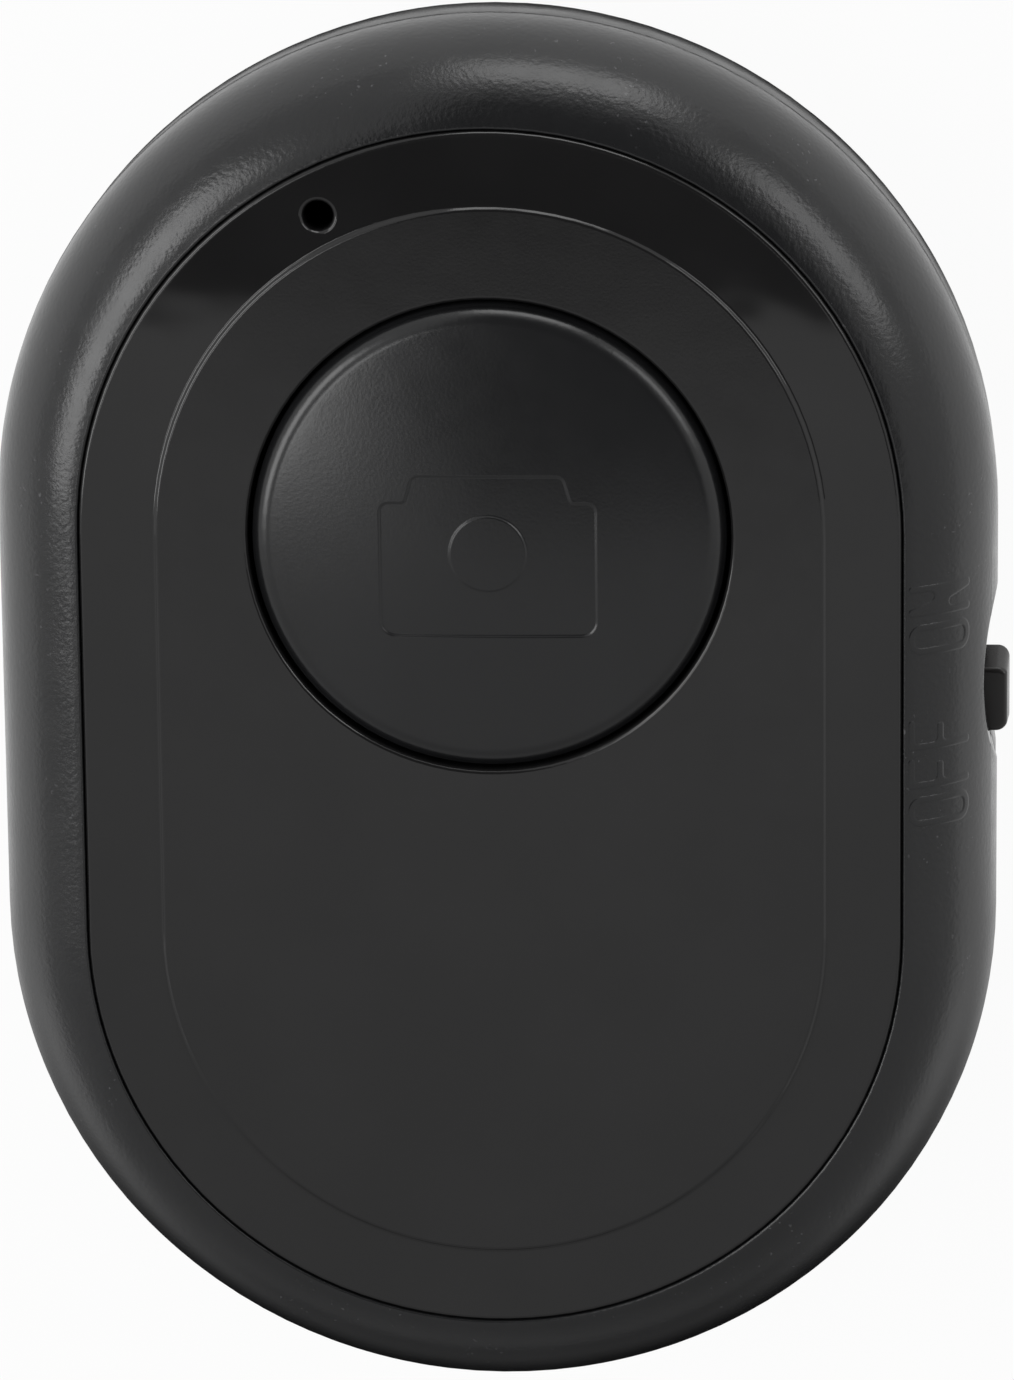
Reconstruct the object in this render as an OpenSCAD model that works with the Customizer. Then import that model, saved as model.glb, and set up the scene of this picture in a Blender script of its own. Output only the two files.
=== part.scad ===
// Pocket camera shutter remote: a pill-shaped two-part case with a face panel, one round
// domed shutter button, a slide switch in the side, and a board with a coin cell inside.
// It lies on its flat back: +Z out of the face, +Y towards the button end, +X towards the switch.
// Every wall follows the same pill outline, a straight middle between two round ends, so the
// button, the coin cell and the screws are all placed from the centres of those round ends.

/* [Case] */
// Width across the two straight sides
body_w = 34; // [32:0.5:40]
// Length over the two round ends
body_l = 48; // [46:0.5:56]
// Height from the flat back to the ring round the face panel
face_z = 11; // [10.8:0.1:13]
// Height of the parting line between the front housing and the back cover
part_z = 6.6; // [6.4:0.05:7]
// Width of the rounded rim seen from the front
rim_w = 3.15; // [2.9:0.05:3.5]
// Wall thickness of the front housing
housing_wall = 1.2; // [1:0.05:1.3]
// Wall thickness of the back cover
cover_wall = 1; // [0.8:0.05:1.05]
// Gap left at the parting line
part_gap = 0.06; // [0.03:0.01:0.12]
// How far the edge of the back cover stands inside the edge of the housing
cover_inset = 0.05; // [0:0.01:0.15]
// Height of the upright side of the back cover, below the parting line
cover_side = 1.4; // [1:0.1:2]
// Height of the lip on the back cover that plugs into the housing
lip_h = 0.8; // [0.6:0.05:1]
// Thickness of that lip
lip_t = 0.75; // [0.6:0.05:0.85]
// Clearance between the lip and the housing wall
lip_gap = 0.08; // [0.05:0.01:0.12]
// Broken edge on moulded parts
edge = 0.1; // [0.05:0.01:0.15]

/* [Face panel] */
// Thickness of the face panel at its glossy ring
panel_t = 1.2; // [1:0.05:1.4]
// Gap in the seam round the panel
panel_gap = 0.03; // [0.03:0.01:0.2]
// Broken edge on each side of that seam
seam_edge = 0.1; // [0.05:0.01:0.12]
// Width of the glossy ring round the raised field
ring_w = 2.65; // [2.4:0.05:2.9]
// Height of the raised matte field over the ring
field_rise = 0.12; // [0.05:0.01:0.2]
// Width of the ledge that the panel sits on
ledge_w = 1; // [0.8:0.05:1.1]
// Thickness of that ledge
ledge_t = 0.9; // [0.7:0.05:1]
// Wall of the skirt under the panel that drops inside the ledge
skirt_t = 0.8; // [0.6:0.05:1]
// Clearance between the skirt and the ledge
skirt_gap = 0.1; // [0.05:0.01:0.15]
// Diameter of the light hole in the ring
light_hole_d = 1; // [0.8:0.05:1.2]
// Place of the light hole round the upper end, in degrees from the switch side
light_angle = 117; // [100:1:130]
// Distance of the light hole from the edge of the panel
light_inset = 1.55; // [1.3:0.05:1.7]

/* [Shutter button] */
// Width of the band of field left beside the button's bore
button_margin = 3.05; // [2.6:0.01:3.6]
// Gap round the cap
button_gap = 0.16; // [0.12:0.01:0.3]
// Rise of the domed top above the rounded edge
dome_rise = 0.45; // [0.3:0.05:0.8]
// Radius of the rounded edge of the cap
button_round = 0.45; // [0.3:0.05:0.6]
// How far the rounded edge starts below the raised field
button_sink = 0.2; // [0.1:0.05:0.4]
// Side wall of the cap
button_wall = 1.1; // [0.9:0.05:1.3]
// Thickness of the top of the cap at its edge
cap_t = 1.15; // [1:0.05:1.3]
// Depth of the collar under the panel that guides the cap
collar_h = 0.8; // [0.6:0.05:0.9]
// Wall of that collar
collar_t = 0.9; // [0.7:0.05:1]
// Overlap of the flange that keeps the cap in
flange_w = 0.85; // [0.6:0.05:0.9]
// Thickness of the flange
flange_t = 0.75; // [0.6:0.05:0.85]
// Running gap between the flange and the collar
flange_gap = 0.05; // [0.03:0.01:0.08]
// Travel of the button
button_travel = 0.25; // [0.15:0.01:0.3]
// Diameter of the two guide pins beside the button
guide_d = 1.2; // [1:0.05:1.4]
// Clearance round the guide pins, on the radius
guide_gap = 0.08; // [0.04:0.01:0.1]
// Clearance between the ears round the guide pins and the skirt
ear_gap = 0.22; // [0.1:0.02:0.3]
// Wall round the guide hole in an ear of the flange
ear_wall = 0.75; // [0.6:0.05:0.8]
// Diameter of the post that presses the switch
post_d = 2.8; // [2.4:0.1:3.2]
// Thickness of the cross ribs inside the cap
cap_rib_t = 0.7; // [0.5:0.05:0.9]

/* [Power switch knob] */
// Length of the knob along the side of the case
knob_l = 2.85; // [2.6:0.05:3.4]
// Height of the knob
knob_h = 1.4; // [1.2:0.05:1.5]
// How far the knob stands out past the side of the case
knob_proud = 0.42; // [0.3:0.02:0.8]
// Corner radius of the knob
knob_round = 0.4; // [0.2:0.05:0.6]
// Travel from off to on
switch_travel = 1.5; // [1.2:0.05:1.6]
// Place of the switch along the case
switch_y = 1.3; // [0:0.1:1.6]
// Clearance round the knob in its slot
knob_gap = 0.12; // [0.08:0.01:0.15]
// Thickness of the plate behind the slot
plate_t = 0.65; // [0.5:0.05:0.7]
// How far the plate reaches past the slot at the end of its travel
plate_lap = 0.13; // [0.1:0.01:0.3]
// How far the plate reaches above and below the knob
plate_lip = 0.15; // [0.1:0.01:0.2]
// Gap between the plate and the wall of the housing
plate_gap = 0.4; // [0.3:0.02:0.45]
// Depth of the scoop in the side of the case
scoop_depth = 0.45; // [0.3:0.02:0.55]
// Length of the scoop
scoop_l = 6.2; // [5.6:0.1:7]

/* [Circuit board] */
// Thickness of the circuit board
board_t = 0.8; // [0.6:0.1:0.8]
// Height of the top of the board over the flat back
board_z = 5.45; // [5.4:0.01:5.55]
// Gap between the edge of the board and the wall of the cover
board_gap = 0.5; // [0.4:0.05:0.7]
// How far the screws stand inside the edge of the ledge
screw_inset = 0.15; // [0.1:0.05:0.3]
// Outer diameter of the screw bosses
boss_d = 3.2; // [2.8:0.1:3.4]
// Diameter of the screw shank
shank_d = 1.4; // [1.2:0.05:1.5]
// Clearance of the shank in the boss, on the radius
shank_gap = 0.05; // [0.03:0.01:0.08]
// Clearance of the shank in the board, on the radius
board_hole_gap = 0.2; // [0.1:0.05:0.3]
// Diameter of the screw head
head_d = 2.6; // [2.2:0.1:2.8]
// Height of the screw head
head_h = 0.8; // [0.6:0.05:0.9]
// Length of the screw under its head
screw_l = 3.2; // [2.8:0.1:3.4]
// Thickness of the ribs that steady the board
rib_t = 0.8; // [0.6:0.1:1]
// Places of those ribs along the case
rib_y = 6.3; // [6:0.1:7]

/* [Coin cell and contacts] */
// Diameter of the coin cell
cell_d = 20; // [19:0.1:20.2]
// Height of the coin cell
cell_h = 3.2; // [2.5:0.1:3.2]
// Broken edge of the cell's can
cell_edge = 0.3; // [0.2:0.05:0.35]
// Wall of the cell's can
can_t = 0.3; // [0.2:0.05:0.35]
// Width of the seal ring of the cell
seal_w = 0.7; // [0.5:0.05:0.9]
// How far the negative cap stands out of the can
cap_proud = 0.2; // [0.1:0.05:0.25]
// Thickness of the negative contact
contact_t = 0.15; // [0.1:0.01:0.15]
// Diameter of the negative contact
contact_d = 9; // [7:0.5:10]
// Thickness of the battery clip's metal
clip_t = 0.2; // [0.15:0.01:0.2]
// Width of the battery clip
clip_w = 5; // [4:0.5:6]
// Gap between the cell and the legs of the clip
clip_gap = 0.25; // [0.2:0.05:0.4]
// Length of the clip's soldered feet
clip_foot = 1.4; // [1:0.1:1.6]
// Bend radius inside the clip's corners
clip_bend = 0.3; // [0.2:0.05:0.35]
// Gap between the cell and the ribs of its nest in the cover
nest_gap = 0.5; // [0.4:0.05:0.6]
// Thickness of the ribs of the nest
nest_t = 0.8; // [0.6:0.05:0.9]
// Height of the nest over the cover's floor
nest_h = 2; // [1.5:0.1:2.2]

/* [Parts on the board] */
// Side of the push switch under the button
tact_w = 5.2; // [4.8:0.1:5.2]
// Height of the push switch without its plunger
tact_h = 1.25; // [1.2:0.05:1.3]
// Height of the plunger over the push switch
plunger_h = 0.55; // [0.45:0.05:0.6]
// Diameter of the plunger
plunger_d = 2.3; // [2:0.1:2.4]
// Diameter of the snap dome
snap_d = 3.5; // [3.2:0.1:3.6]
// Rise of the snap dome
snap_rise = 0.35; // [0.3:0.01:0.36]
// Thickness of the snap dome
snap_t = 0.08; // [0.06:0.01:0.1]
// Thickness of thin sheet metal on the small parts
sheet_t = 0.15; // [0.12:0.01:0.18]
// Length of the slide switch along the side
slide_l = 6.7; // [6.4:0.1:7]
// Depth of the slide switch
slide_w = 2.7; // [2.5:0.1:2.8]
// Height of the slide switch
slide_h = 1.4; // [1.3:0.05:1.45]
// Thickness of the slide switch's base
slide_base_t = 0.45; // [0.4:0.05:0.5]
// Width of the slider's stem
stem_w = 1.3; // [1:0.1:1.5]
// Height of the slider's stem
stem_h = 0.65; // [0.5:0.05:0.7]
// Side of the radio chip
chip_w = 5; // [4:0.5:5]
// Height of the radio chip
chip_h = 0.85; // [0.7:0.05:0.9]
// Width of the memory chip's body
memory_w = 3.9; // [3.5:0.1:4]
// Length of the memory chip's body
memory_l = 4.9; // [4.5:0.1:5]
// Height of the memory chip
memory_h = 1.4; // [1.2:0.1:1.5]
// How far the memory chip's leads stand out
lead_l = 1.05; // [0.8:0.05:1.2]
// Length of the crystal's can
crystal_l = 3.2; // [2.8:0.1:3.4]
// Width of the crystal's can
crystal_w = 2.5; // [2:0.1:2.6]
// Height of the crystal's can
crystal_h = 0.7; // [0.6:0.05:0.9]
// Length of the small resistors and capacitors
small_l = 1.6; // [1.2:0.1:1.7]
// Width of the small resistors and capacitors
small_w = 0.8; // [0.6:0.05:0.9]
// Height of a capacitor
capacitor_h = 0.8; // [0.6:0.05:0.9]
// Height of a resistor
resistor_h = 0.45; // [0.4:0.05:0.6]
// Length of the metal ends of a small part
end_l = 0.3; // [0.2:0.05:0.4]
// Height of the status light
lamp_h = 0.7; // [0.6:0.05:0.9]
// Width of the aerial's copper track
track_w = 0.5; // [0.3:0.05:0.6]
// Thickness of the aerial's copper track
track_t = 0.05; // [0.03:0.01:0.07]
// Length of one leg of the aerial
aerial_l = 2.8; // [2.4:0.1:3]
// Distance from one leg of the aerial to the next
aerial_pitch = 1.1; // [1:0.05:1.2]
// Least gap between two parts on the board
part_space = 0.6; // [0.5:0.05:0.8]

/* [Hidden] */

$fn = 96;
// overrun of a cut past the face that it opens
over = 0.4;
half_w = body_w / 2;
// distance from the middle of the case to the centre of each round end
end_y = (body_l - body_w) / 2;
// radius of the rim's arc, which leaves the parting line upright and ends at the panel's seam
rim_rise = face_z - part_z;
rim_r = (rim_w * rim_w + rim_rise * rim_rise) / (2 * rim_w);
rim_x = half_w - rim_r;

// half width of the panel's opening, the panel, its field and the ledge under it
opening_hw = half_w - rim_w;
panel_hw = opening_hw - panel_gap;
field_hw = panel_hw - ring_w;
ledge_hw = opening_hw - ledge_w;
seat_z = face_z - panel_t;
ledge_z = seat_z - ledge_t;
field_z = face_z + field_rise;
skirt_hw = ledge_hw - skirt_gap;
light_r = panel_hw - light_inset;
light_at = [light_r * cos(light_angle), end_y + light_r * sin(light_angle)];

// the back cover's own arc runs from its upright side to the flat back
cover_hw = half_w - cover_inset;
cover_r = part_z - cover_side;
cover_x = cover_hw - cover_r;
lip_z = part_z + lip_h;
// the wall of the housing is a little further in at the top of the lip than at the parting line
housing_inner_r = rim_r - housing_wall;
lip_hw = rim_x + sqrt(housing_inner_r * housing_inner_r - lip_h * lip_h) - lip_gap;
bay_hw = lip_hw - lip_t;
notch_w = 6;
notch_depth = 0.6;
notch_h = 0.7;

// button, from the flange up to the top of the dome
bore_r = field_hw - button_margin;
button_r = bore_r - button_gap;
button_edge_z = field_z - button_sink;
cap_reach = button_r - button_round;
dome_centre_r = (cap_reach * cap_reach + dome_rise * dome_rise) / (2 * dome_rise);
dome_r = dome_centre_r + button_round;
dome_top_z = button_edge_z + button_round + dome_rise;
dome_z = dome_top_z - dome_r;
collar_z = seat_z - collar_h;
flange_top_z = collar_z - flange_gap;
flange_z = flange_top_z - flange_t;
flange_r = bore_r + flange_w;
cap_inner_z = button_edge_z - cap_t + button_round;
cap_inner_r = button_r - button_wall;
guide_r = guide_d / 2;
ear_r = guide_r + guide_gap + ear_wall;
guide_reach = skirt_hw - skirt_t - ear_gap - ear_r;
guide_z = flange_z - button_travel - ear_wall;

// power switch, in its off place
board_hw = bay_hw - board_gap;
slide_x = board_hw - slide_w / 2;
slide_z = board_z + slide_base_t;
stem_z = slide_z + (slide_h - slide_base_t - stem_h) / 2;
knob_z = stem_z + stem_h / 2 - knob_h / 2;
off_y = switch_y - switch_travel / 2;
slot_half = (knob_l + switch_travel) / 2 + knob_gap;
plate_half = slot_half + switch_travel / 2 + plate_lap;
plate_x = rim_x + housing_inner_r - plate_gap - plate_t;
knob_x = half_w + knob_proud;
scoop_r = (scoop_l * scoop_l / 4 + scoop_depth * scoop_depth) / (2 * scoop_depth);
pocket_half = plate_half + switch_travel / 2 + 2 * knob_gap;
pocket_z = knob_z - plate_lip - 2 * knob_gap;
pocket_x = plate_x + plate_t + 2 * knob_gap;

// board and what hangs under it
board_low = board_z - board_t;
shank_r = shank_d / 2;
screw_reach = ledge_hw - screw_inset;
screw_angles = [40, 140, 270];
function end_point(angle, reach) = [reach * cos(angle), sign(sin(angle)) * end_y + reach * sin(angle)];
cell_r = cell_d / 2;
cell_top = board_low - contact_t;
cell_low = cell_top - cell_h;
can_top = cell_top - cap_proud;
can_inner_r = cell_r - can_t;
cap_r = can_inner_r - seal_w;
clip_low = cell_low - clip_t;
clip_reach = cell_r + clip_gap;
nest_r = cell_r + nest_gap;

// push switch under the button
tact_top = board_z + tact_h;
tact_base_top = tact_top - 2 * sheet_t;
plunger_top = tact_top + plunger_h;
plunger_r = plunger_d / 2;
snap_r = snap_d / 2;
well_r = snap_r + sheet_t;
well_z = board_z + 2 * sheet_t;
snap_ball_r = (snap_r * snap_r + snap_rise * snap_rise) / (2 * snap_rise);
foot_t = sheet_t;

// counts of what repeats
aerial_leg_count = 6;
slide_leg_count = 3;
lead_count = 4;
finger_count = 3;
nest_count = 4;

// places of the chips, laid out from the push switch between them
leg_l = tact_w / 6;
tact_reach = tact_w / 2 + leg_l + part_space;
chip_at = [-tact_reach - chip_w / 2, end_y];
crystal_at = [tact_reach + crystal_l / 2, end_y];
memory_at = [-tact_reach - memory_w / 2, end_y - chip_w / 2 - part_space - memory_l / 2];
// the small parts stand in two columns under the push switch and one under the crystal
row = small_w + part_space;
column = small_l + part_space;
first_row_y = end_y - tact_w / 2 - row;
capacitor_places = concat(
    [for (i = [0:2]) [0, first_row_y - i * row]],
    [for (i = [1:3]) [crystal_at[0], end_y - crystal_w / 2 - i * row]]
);
resistor_places = concat(
    [for (i = [0:2]) [column, first_row_y - i * row]],
    [[chip_at[0], end_y + chip_w / 2 + row], [crystal_at[0], end_y + crystal_w / 2 + row]]
);

// Ends a half outline, drawn at its distance from the middle line, into the pill shape.
module pill() {
    for (turn = [0, 180]) {
        rotate([0, 0, turn]) translate([0, end_y, 0]) rotate_extrude(angle = 180) children();
        rotate([0, 0, turn]) translate([0, end_y, 0]) rotate([90, 0, 0])
            linear_extrude(2 * end_y) children();
    }
}

// Solid pill from one height to another.
module pill_block(half, low, high) {
    pill() translate([0, low]) square([half, high - low]);
}

module part_of_arc(centre, radius, low, high) {
    intersection() {
        translate(centre) circle(radius);
        translate([centre[0], low]) square([radius, high - low]);
    }
    translate([0, low]) square([centre[0], high - low]);
}

module front_shell() {
    difference() {
        pill() part_of_arc([rim_x, part_z], rim_r, part_z, face_z);
        pill() part_of_arc([rim_x, part_z], housing_inner_r, part_z - over, ledge_z);
        pill_block(ledge_hw, ledge_z - over, seat_z + over);
        pill() polygon([
            [0, seat_z], [opening_hw, seat_z], [opening_hw, face_z - seam_edge],
            [opening_hw + seam_edge, face_z], [opening_hw + seam_edge, face_z + over], [0, face_z + over]
        ]);
    }
}

// Shallow scoop in the side, which both halves of the case share.
module scoop() {
    translate([half_w - scoop_depth + scoop_r, switch_y, 0]) cylinder(r = scoop_r, h = face_z, $fn = 192);
}

// Slot that the knob runs in, cut half in each part of the case.
module knob_slot() {
    translate([bay_hw - over, switch_y - slot_half, knob_z - knob_gap])
        cube([half_w - bay_hw + 2 * over, 2 * slot_half, knob_h + 2 * knob_gap]);
}

module board_rib(side) {
    rib_reach = opening_hw - board_hw + ledge_w + board_gap;
    intersection() {
        translate([side * (opening_hw - rib_reach / 2), 0, 0])
            for (y = [-rib_y, rib_y])
                translate([-rib_reach / 2, y - rib_t / 2, board_z])
                    cube([rib_reach, rib_t, ledge_z - board_z]);
        pill_block(board_hw, board_z - over, ledge_z + over);
    }
}

module front_housing() {
    color("#262628") difference() {
        union() {
            front_shell();
            for (a = screw_angles)
                translate(concat(end_point(a, screw_reach), board_z))
                    cylinder(d = boss_d, h = ledge_z - board_z);
            board_rib(1);
            board_rib(-1);
        }
        for (a = screw_angles)
            translate(concat(end_point(a, screw_reach), board_z - over))
                cylinder(r = shank_r + shank_gap, h = screw_l - board_t + 2 * over);
        scoop();
        knob_slot();
    }
}

module face_panel() {
    color("#1d1d1f") difference() {
        union() {
            pill() polygon([
                [0, seat_z], [panel_hw, seat_z], [panel_hw, face_z - seam_edge],
                [panel_hw - seam_edge, face_z],
                [field_hw + field_rise, face_z], [field_hw, field_z], [0, field_z]
            ]);
            difference() {
                pill_block(skirt_hw, ledge_z, seat_z);
                pill_block(skirt_hw - skirt_t, ledge_z - over, seat_z);
            }
            translate([0, end_y, collar_z]) cylinder(r = bore_r + collar_t, h = collar_h);
            for (side = [-1, 1])
                translate([side * guide_reach, end_y, guide_z])
                    cylinder(d = guide_d, h = seat_z - guide_z);
        }
        translate([0, end_y, collar_z - over]) cylinder(r = bore_r, h = field_z - collar_z + 2 * over);
        translate([0, end_y, field_z - edge])
            cylinder(r1 = bore_r, r2 = bore_r + edge + over, h = edge + over);
        translate(concat(light_at, ledge_z)) cylinder(d = light_hole_d, h = field_z - ledge_z + over);
        translate(concat(light_at, face_z - edge))
            cylinder(d1 = light_hole_d, d2 = light_hole_d + 2 * (edge + over), h = edge + over);
        // the light comes up through a wider gap in the skirt
        translate(concat(light_at, ledge_z - over))
            cylinder(d = 2 * light_hole_d, h = seat_z - ledge_z + over);
    }
}

// Half outline of the domed cap: side wall, rounded edge and dome, each an arc that meets the next.
module cap_outline() {
    edge_z = button_edge_z - dome_z;
    reach_share = 1.3;
    translate([0, flange_z]) square([button_r, button_edge_z - flange_z]);
    translate([cap_reach, button_edge_z]) circle(button_round);
    intersection() {
        translate([0, dome_z]) circle(dome_r, $fn = 360);
        polygon([
            [0, button_edge_z - button_round],
            [cap_reach * (edge_z - button_round) / edge_z, button_edge_z - button_round],
            [cap_reach * reach_share, dome_z + edge_z * reach_share], [0, dome_z + edge_z * reach_share]
        ]);
    }
}

module shutter_button() {
    color("#2a2a2d") translate([0, end_y, 0]) {
        difference() {
            union() {
                rotate_extrude() cap_outline();
                translate([0, 0, flange_z]) cylinder(r = flange_r, h = flange_t);
                for (side = [-1, 1]) {
                    translate([side * guide_reach, 0, flange_z]) cylinder(r = ear_r, h = flange_t);
                    translate([side * (guide_reach + cap_inner_r) / 2, 0, flange_z + flange_t / 2])
                        cube([guide_reach - cap_inner_r, 2 * ear_r, flange_t], center = true);
                }
            }
            translate([0, 0, flange_z - over]) cylinder(r = cap_inner_r, h = cap_inner_z - flange_z + over);
            for (side = [-1, 1])
                translate([side * guide_reach, 0, flange_z - over])
                    cylinder(r = guide_r + guide_gap, h = flange_t + 2 * over);
        }
        // the post and the cross ribs run a little into the cap
        root_z = cap_inner_z + cap_t / 4;
        translate([0, 0, plunger_top]) cylinder(d = post_d, h = root_z - plunger_top);
        for (turn = [45, 135])
            rotate([0, 0, turn]) translate([0, 0, (flange_top_z + root_z) / 2])
                cube([2 * cap_inner_r + button_wall / 2, cap_rib_t, root_z - flange_top_z], center = true);
    }
}

// Plan of the knob: a block whose two outer corners are rounded.
module knob_plan() {
    half = knob_l / 2;
    translate([plate_x, -half]) square([knob_x - knob_round - plate_x, knob_l]);
    translate([plate_x, -half + knob_round]) square([knob_x - plate_x, knob_l - 2 * knob_round]);
    for (side = [-1, 1])
        translate([knob_x - knob_round, side * (half - knob_round)]) circle(knob_round, $fn = 48);
}

module switch_knob() {
    color("#1b1817") translate([0, off_y, 0]) difference() {
        union() {
            translate([0, 0, knob_z]) linear_extrude(knob_h) knob_plan();
            translate([plate_x, -plate_half, knob_z - plate_lip])
                cube([plate_t, 2 * plate_half, knob_h + 2 * plate_lip]);
        }
        translate([plate_x - over, -stem_w / 2 - guide_gap, stem_z - guide_gap])
            cube([plate_t + 2 * over, stem_w + 2 * guide_gap, stem_h + 2 * guide_gap]);
    }
}

module cover_shell() {
    inner_r = cover_r - cover_wall;
    difference() {
        union() {
            pill() {
                intersection() {
                    translate([cover_x, cover_r]) circle(cover_r);
                    translate([cover_x, 0]) square(cover_r);
                }
                square([cover_x, cover_r]);
                translate([0, cover_r]) square([cover_hw, cover_side - part_gap]);
            }
            pill_block(lip_hw, part_z - part_gap - over, lip_z);
        }
        pill() {
            intersection() {
                translate([cover_x, cover_r]) circle(inner_r);
                translate([cover_x, cover_wall]) square([bay_hw - cover_x, inner_r]);
            }
            translate([0, cover_wall]) square([cover_x, inner_r]);
            translate([0, cover_r]) square([bay_hw, lip_z + over - cover_r]);
        }
    }
}

// Four short walls round the coin cell, open where the clip's legs come down.
module cell_nest() {
    quarter = 360 / nest_count;
    nest_arc = quarter / 2;
    translate([0, -end_y, cover_wall - over / 2])
        for (i = [0:nest_count - 1])
            rotate([0, 0, i * quarter + nest_arc / 2])
                rotate_extrude(angle = nest_arc) translate([nest_r, 0]) square([nest_t, nest_h + over / 2]);
}

module back_cover() {
    color("#232325") difference() {
        union() {
            cover_shell();
            cell_nest();
        }
        scoop();
        knob_slot();
        translate([plate_x - over, switch_y - pocket_half, pocket_z])
            cube([pocket_x - plate_x + over, 2 * pocket_half, lip_z - pocket_z + over]);
        translate([bay_hw - over, switch_y - pocket_half, part_z - part_gap])
            cube([half_w - bay_hw, 2 * pocket_half, lip_h + over]);
        translate([-notch_w / 2, -end_y - cover_hw - over, part_z - notch_h])
            cube([notch_w, notch_depth + over, notch_h]);
    }
}

module circuit_board() {
    color("#1f6b3a") difference() {
        pill_block(board_hw, board_low, board_z);
        for (a = screw_angles)
            translate(concat(end_point(a, screw_reach), board_low - over))
                cylinder(r = shank_r + board_hole_gap, h = board_t + 2 * over);
        for (side = [-1, 1])
            translate([slide_x, switch_y + side * slide_l / 4, board_low - over])
                cylinder(r = sheet_t + 2 * guide_gap, h = board_t + 2 * over, $fn = 32);
    }
}

module board_screws() {
    color("#c9c9cc") for (a = screw_angles)
        translate(concat(end_point(a, screw_reach), board_low)) {
            translate([0, 0, -head_h]) cylinder(d = head_d, h = head_h);
            translate([0, 0, -head_h / 2]) cylinder(r = shank_r, h = screw_l + head_h / 2);
        }
}

// Meandering copper track of the aerial at the button end of the board.
module aerial_track() {
    legs = aerial_leg_count;
    start_x = -aerial_pitch * (legs - 1) / 2 + aerial_pitch;
    low_y = end_y + board_hw - aerial_l - 2 * track_w;
    color("#b9793c") translate([start_x, low_y, board_z]) for (i = [0:legs - 1]) {
        translate([i * aerial_pitch - track_w / 2, 0, 0]) cube([track_w, aerial_l, track_t]);
        if (i < legs - 1)
            translate([i * aerial_pitch - track_w / 2, i % 2 == 0 ? aerial_l - track_w : 0, 0])
                cube([aerial_pitch + track_w, track_w, track_t]);
    }
}

module at_cell() {
    translate([0, -end_y, 0]) children();
}

module coin_cell_can() {
    color("#c4c6c8") at_cell() rotate_extrude() difference() {
        polygon([
            [0, cell_low], [cell_r - cell_edge, cell_low], [cell_r, cell_low + cell_edge],
            [cell_r, can_top - cell_edge], [cell_r - cell_edge, can_top], [0, can_top]
        ]);
        translate([0, cell_low + can_t]) square([can_inner_r, cell_h]);
    }
}

module coin_cell_seal() {
    color("#3c3c3e") at_cell() rotate_extrude()
        translate([cap_r, cell_low + can_t]) square([seal_w, can_top - cell_low - can_t]);
}

module coin_cell_cap() {
    color("#b8babc") at_cell() rotate_extrude() polygon([
        [0, cell_low + can_t], [cap_r, cell_low + can_t], [cap_r, can_top],
        [cap_r - cap_proud, cell_top], [0, cell_top]
    ]);
}

// Half outline of the clip from the side: strap under the cell, leg and soldered foot.
module clip_outline() {
    bend_out = clip_bend + clip_t;
    bend_x = clip_reach - clip_bend;
    bend_z = clip_low + bend_out;
    translate([0, clip_low]) square([bend_x, clip_t]);
    translate([clip_reach, bend_z]) square([clip_t, board_low - bend_z]);
    translate([clip_reach, board_low - clip_t]) square([clip_foot, clip_t]);
    intersection() {
        difference() {
            translate([bend_x, bend_z]) circle(bend_out);
            translate([bend_x, bend_z]) circle(clip_bend);
        }
        translate([bend_x, clip_low]) square(bend_out);
    }
}

module battery_clip() {
    color("#d2cfc6") at_cell() difference() {
        for (side = [0, 1])
            mirror([side, 0, 0]) translate([0, clip_w / 2, 0]) rotate([90, 0, 0])
                linear_extrude(clip_w) clip_outline();
        for (side = [-1, 1])
            translate([side * cell_r / 2, 0, clip_low - over])
                cube([cell_r / 2, clip_w / 4, 2 * clip_t + 2 * over], center = true);
    }
}

// Round contact plate with three sprung fingers cut into it.
module negative_contact() {
    slit_w = 2 * contact_t;
    color("#d8b15a") at_cell() translate([0, 0, cell_top]) difference() {
        cylinder(d = contact_d, h = contact_t);
        for (i = [0:finger_count - 1])
            rotate([0, 0, 360 * i / finger_count]) for (side = [-1, 1])
                translate([contact_d / 8, side * contact_d / 16 - slit_w / 2, -over])
                    cube([contact_d / 4, slit_w, contact_t + 2 * over]);
    }
}

module at_button() {
    translate([0, end_y, 0]) children();
}

module push_switch_base() {
    color("#202022") at_button() difference() {
        translate([-tact_w / 2, -tact_w / 2, board_z]) cube([tact_w, tact_w, tact_base_top - board_z]);
        translate([0, 0, well_z]) cylinder(r = well_r, h = tact_h);
    }
}

module push_switch_cover() {
    tab_z = (board_z + tact_base_top) / 2;
    color("#bfc1c4") at_button() {
        difference() {
            translate([-tact_w / 2, -tact_w / 2, tact_base_top])
                cube([tact_w, tact_w, tact_top - tact_base_top]);
            translate([0, 0, tact_base_top - over]) cylinder(r = plunger_r + guide_gap, h = tact_h);
            translate([0, 0, tact_base_top - over]) cylinder(r = well_r, h = sheet_t + over);
        }
        for (side = [-1, 1])
            translate([-tact_w / 4, side * (tact_w + sheet_t) / 2 - sheet_t / 2, tab_z])
                cube([tact_w / 2, sheet_t, tact_top - tab_z]);
    }
}

module push_switch_plunger() {
    flange_low = well_z + snap_rise + 2 * snap_t;
    color("#2b2b2e") at_button() {
        translate([0, 0, flange_low])
            cylinder(r = well_r - guide_gap, h = tact_base_top + sheet_t - guide_gap / 2 - flange_low);
        translate([0, 0, flange_low]) cylinder(r = plunger_r, h = plunger_top - flange_low);
    }
}

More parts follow.
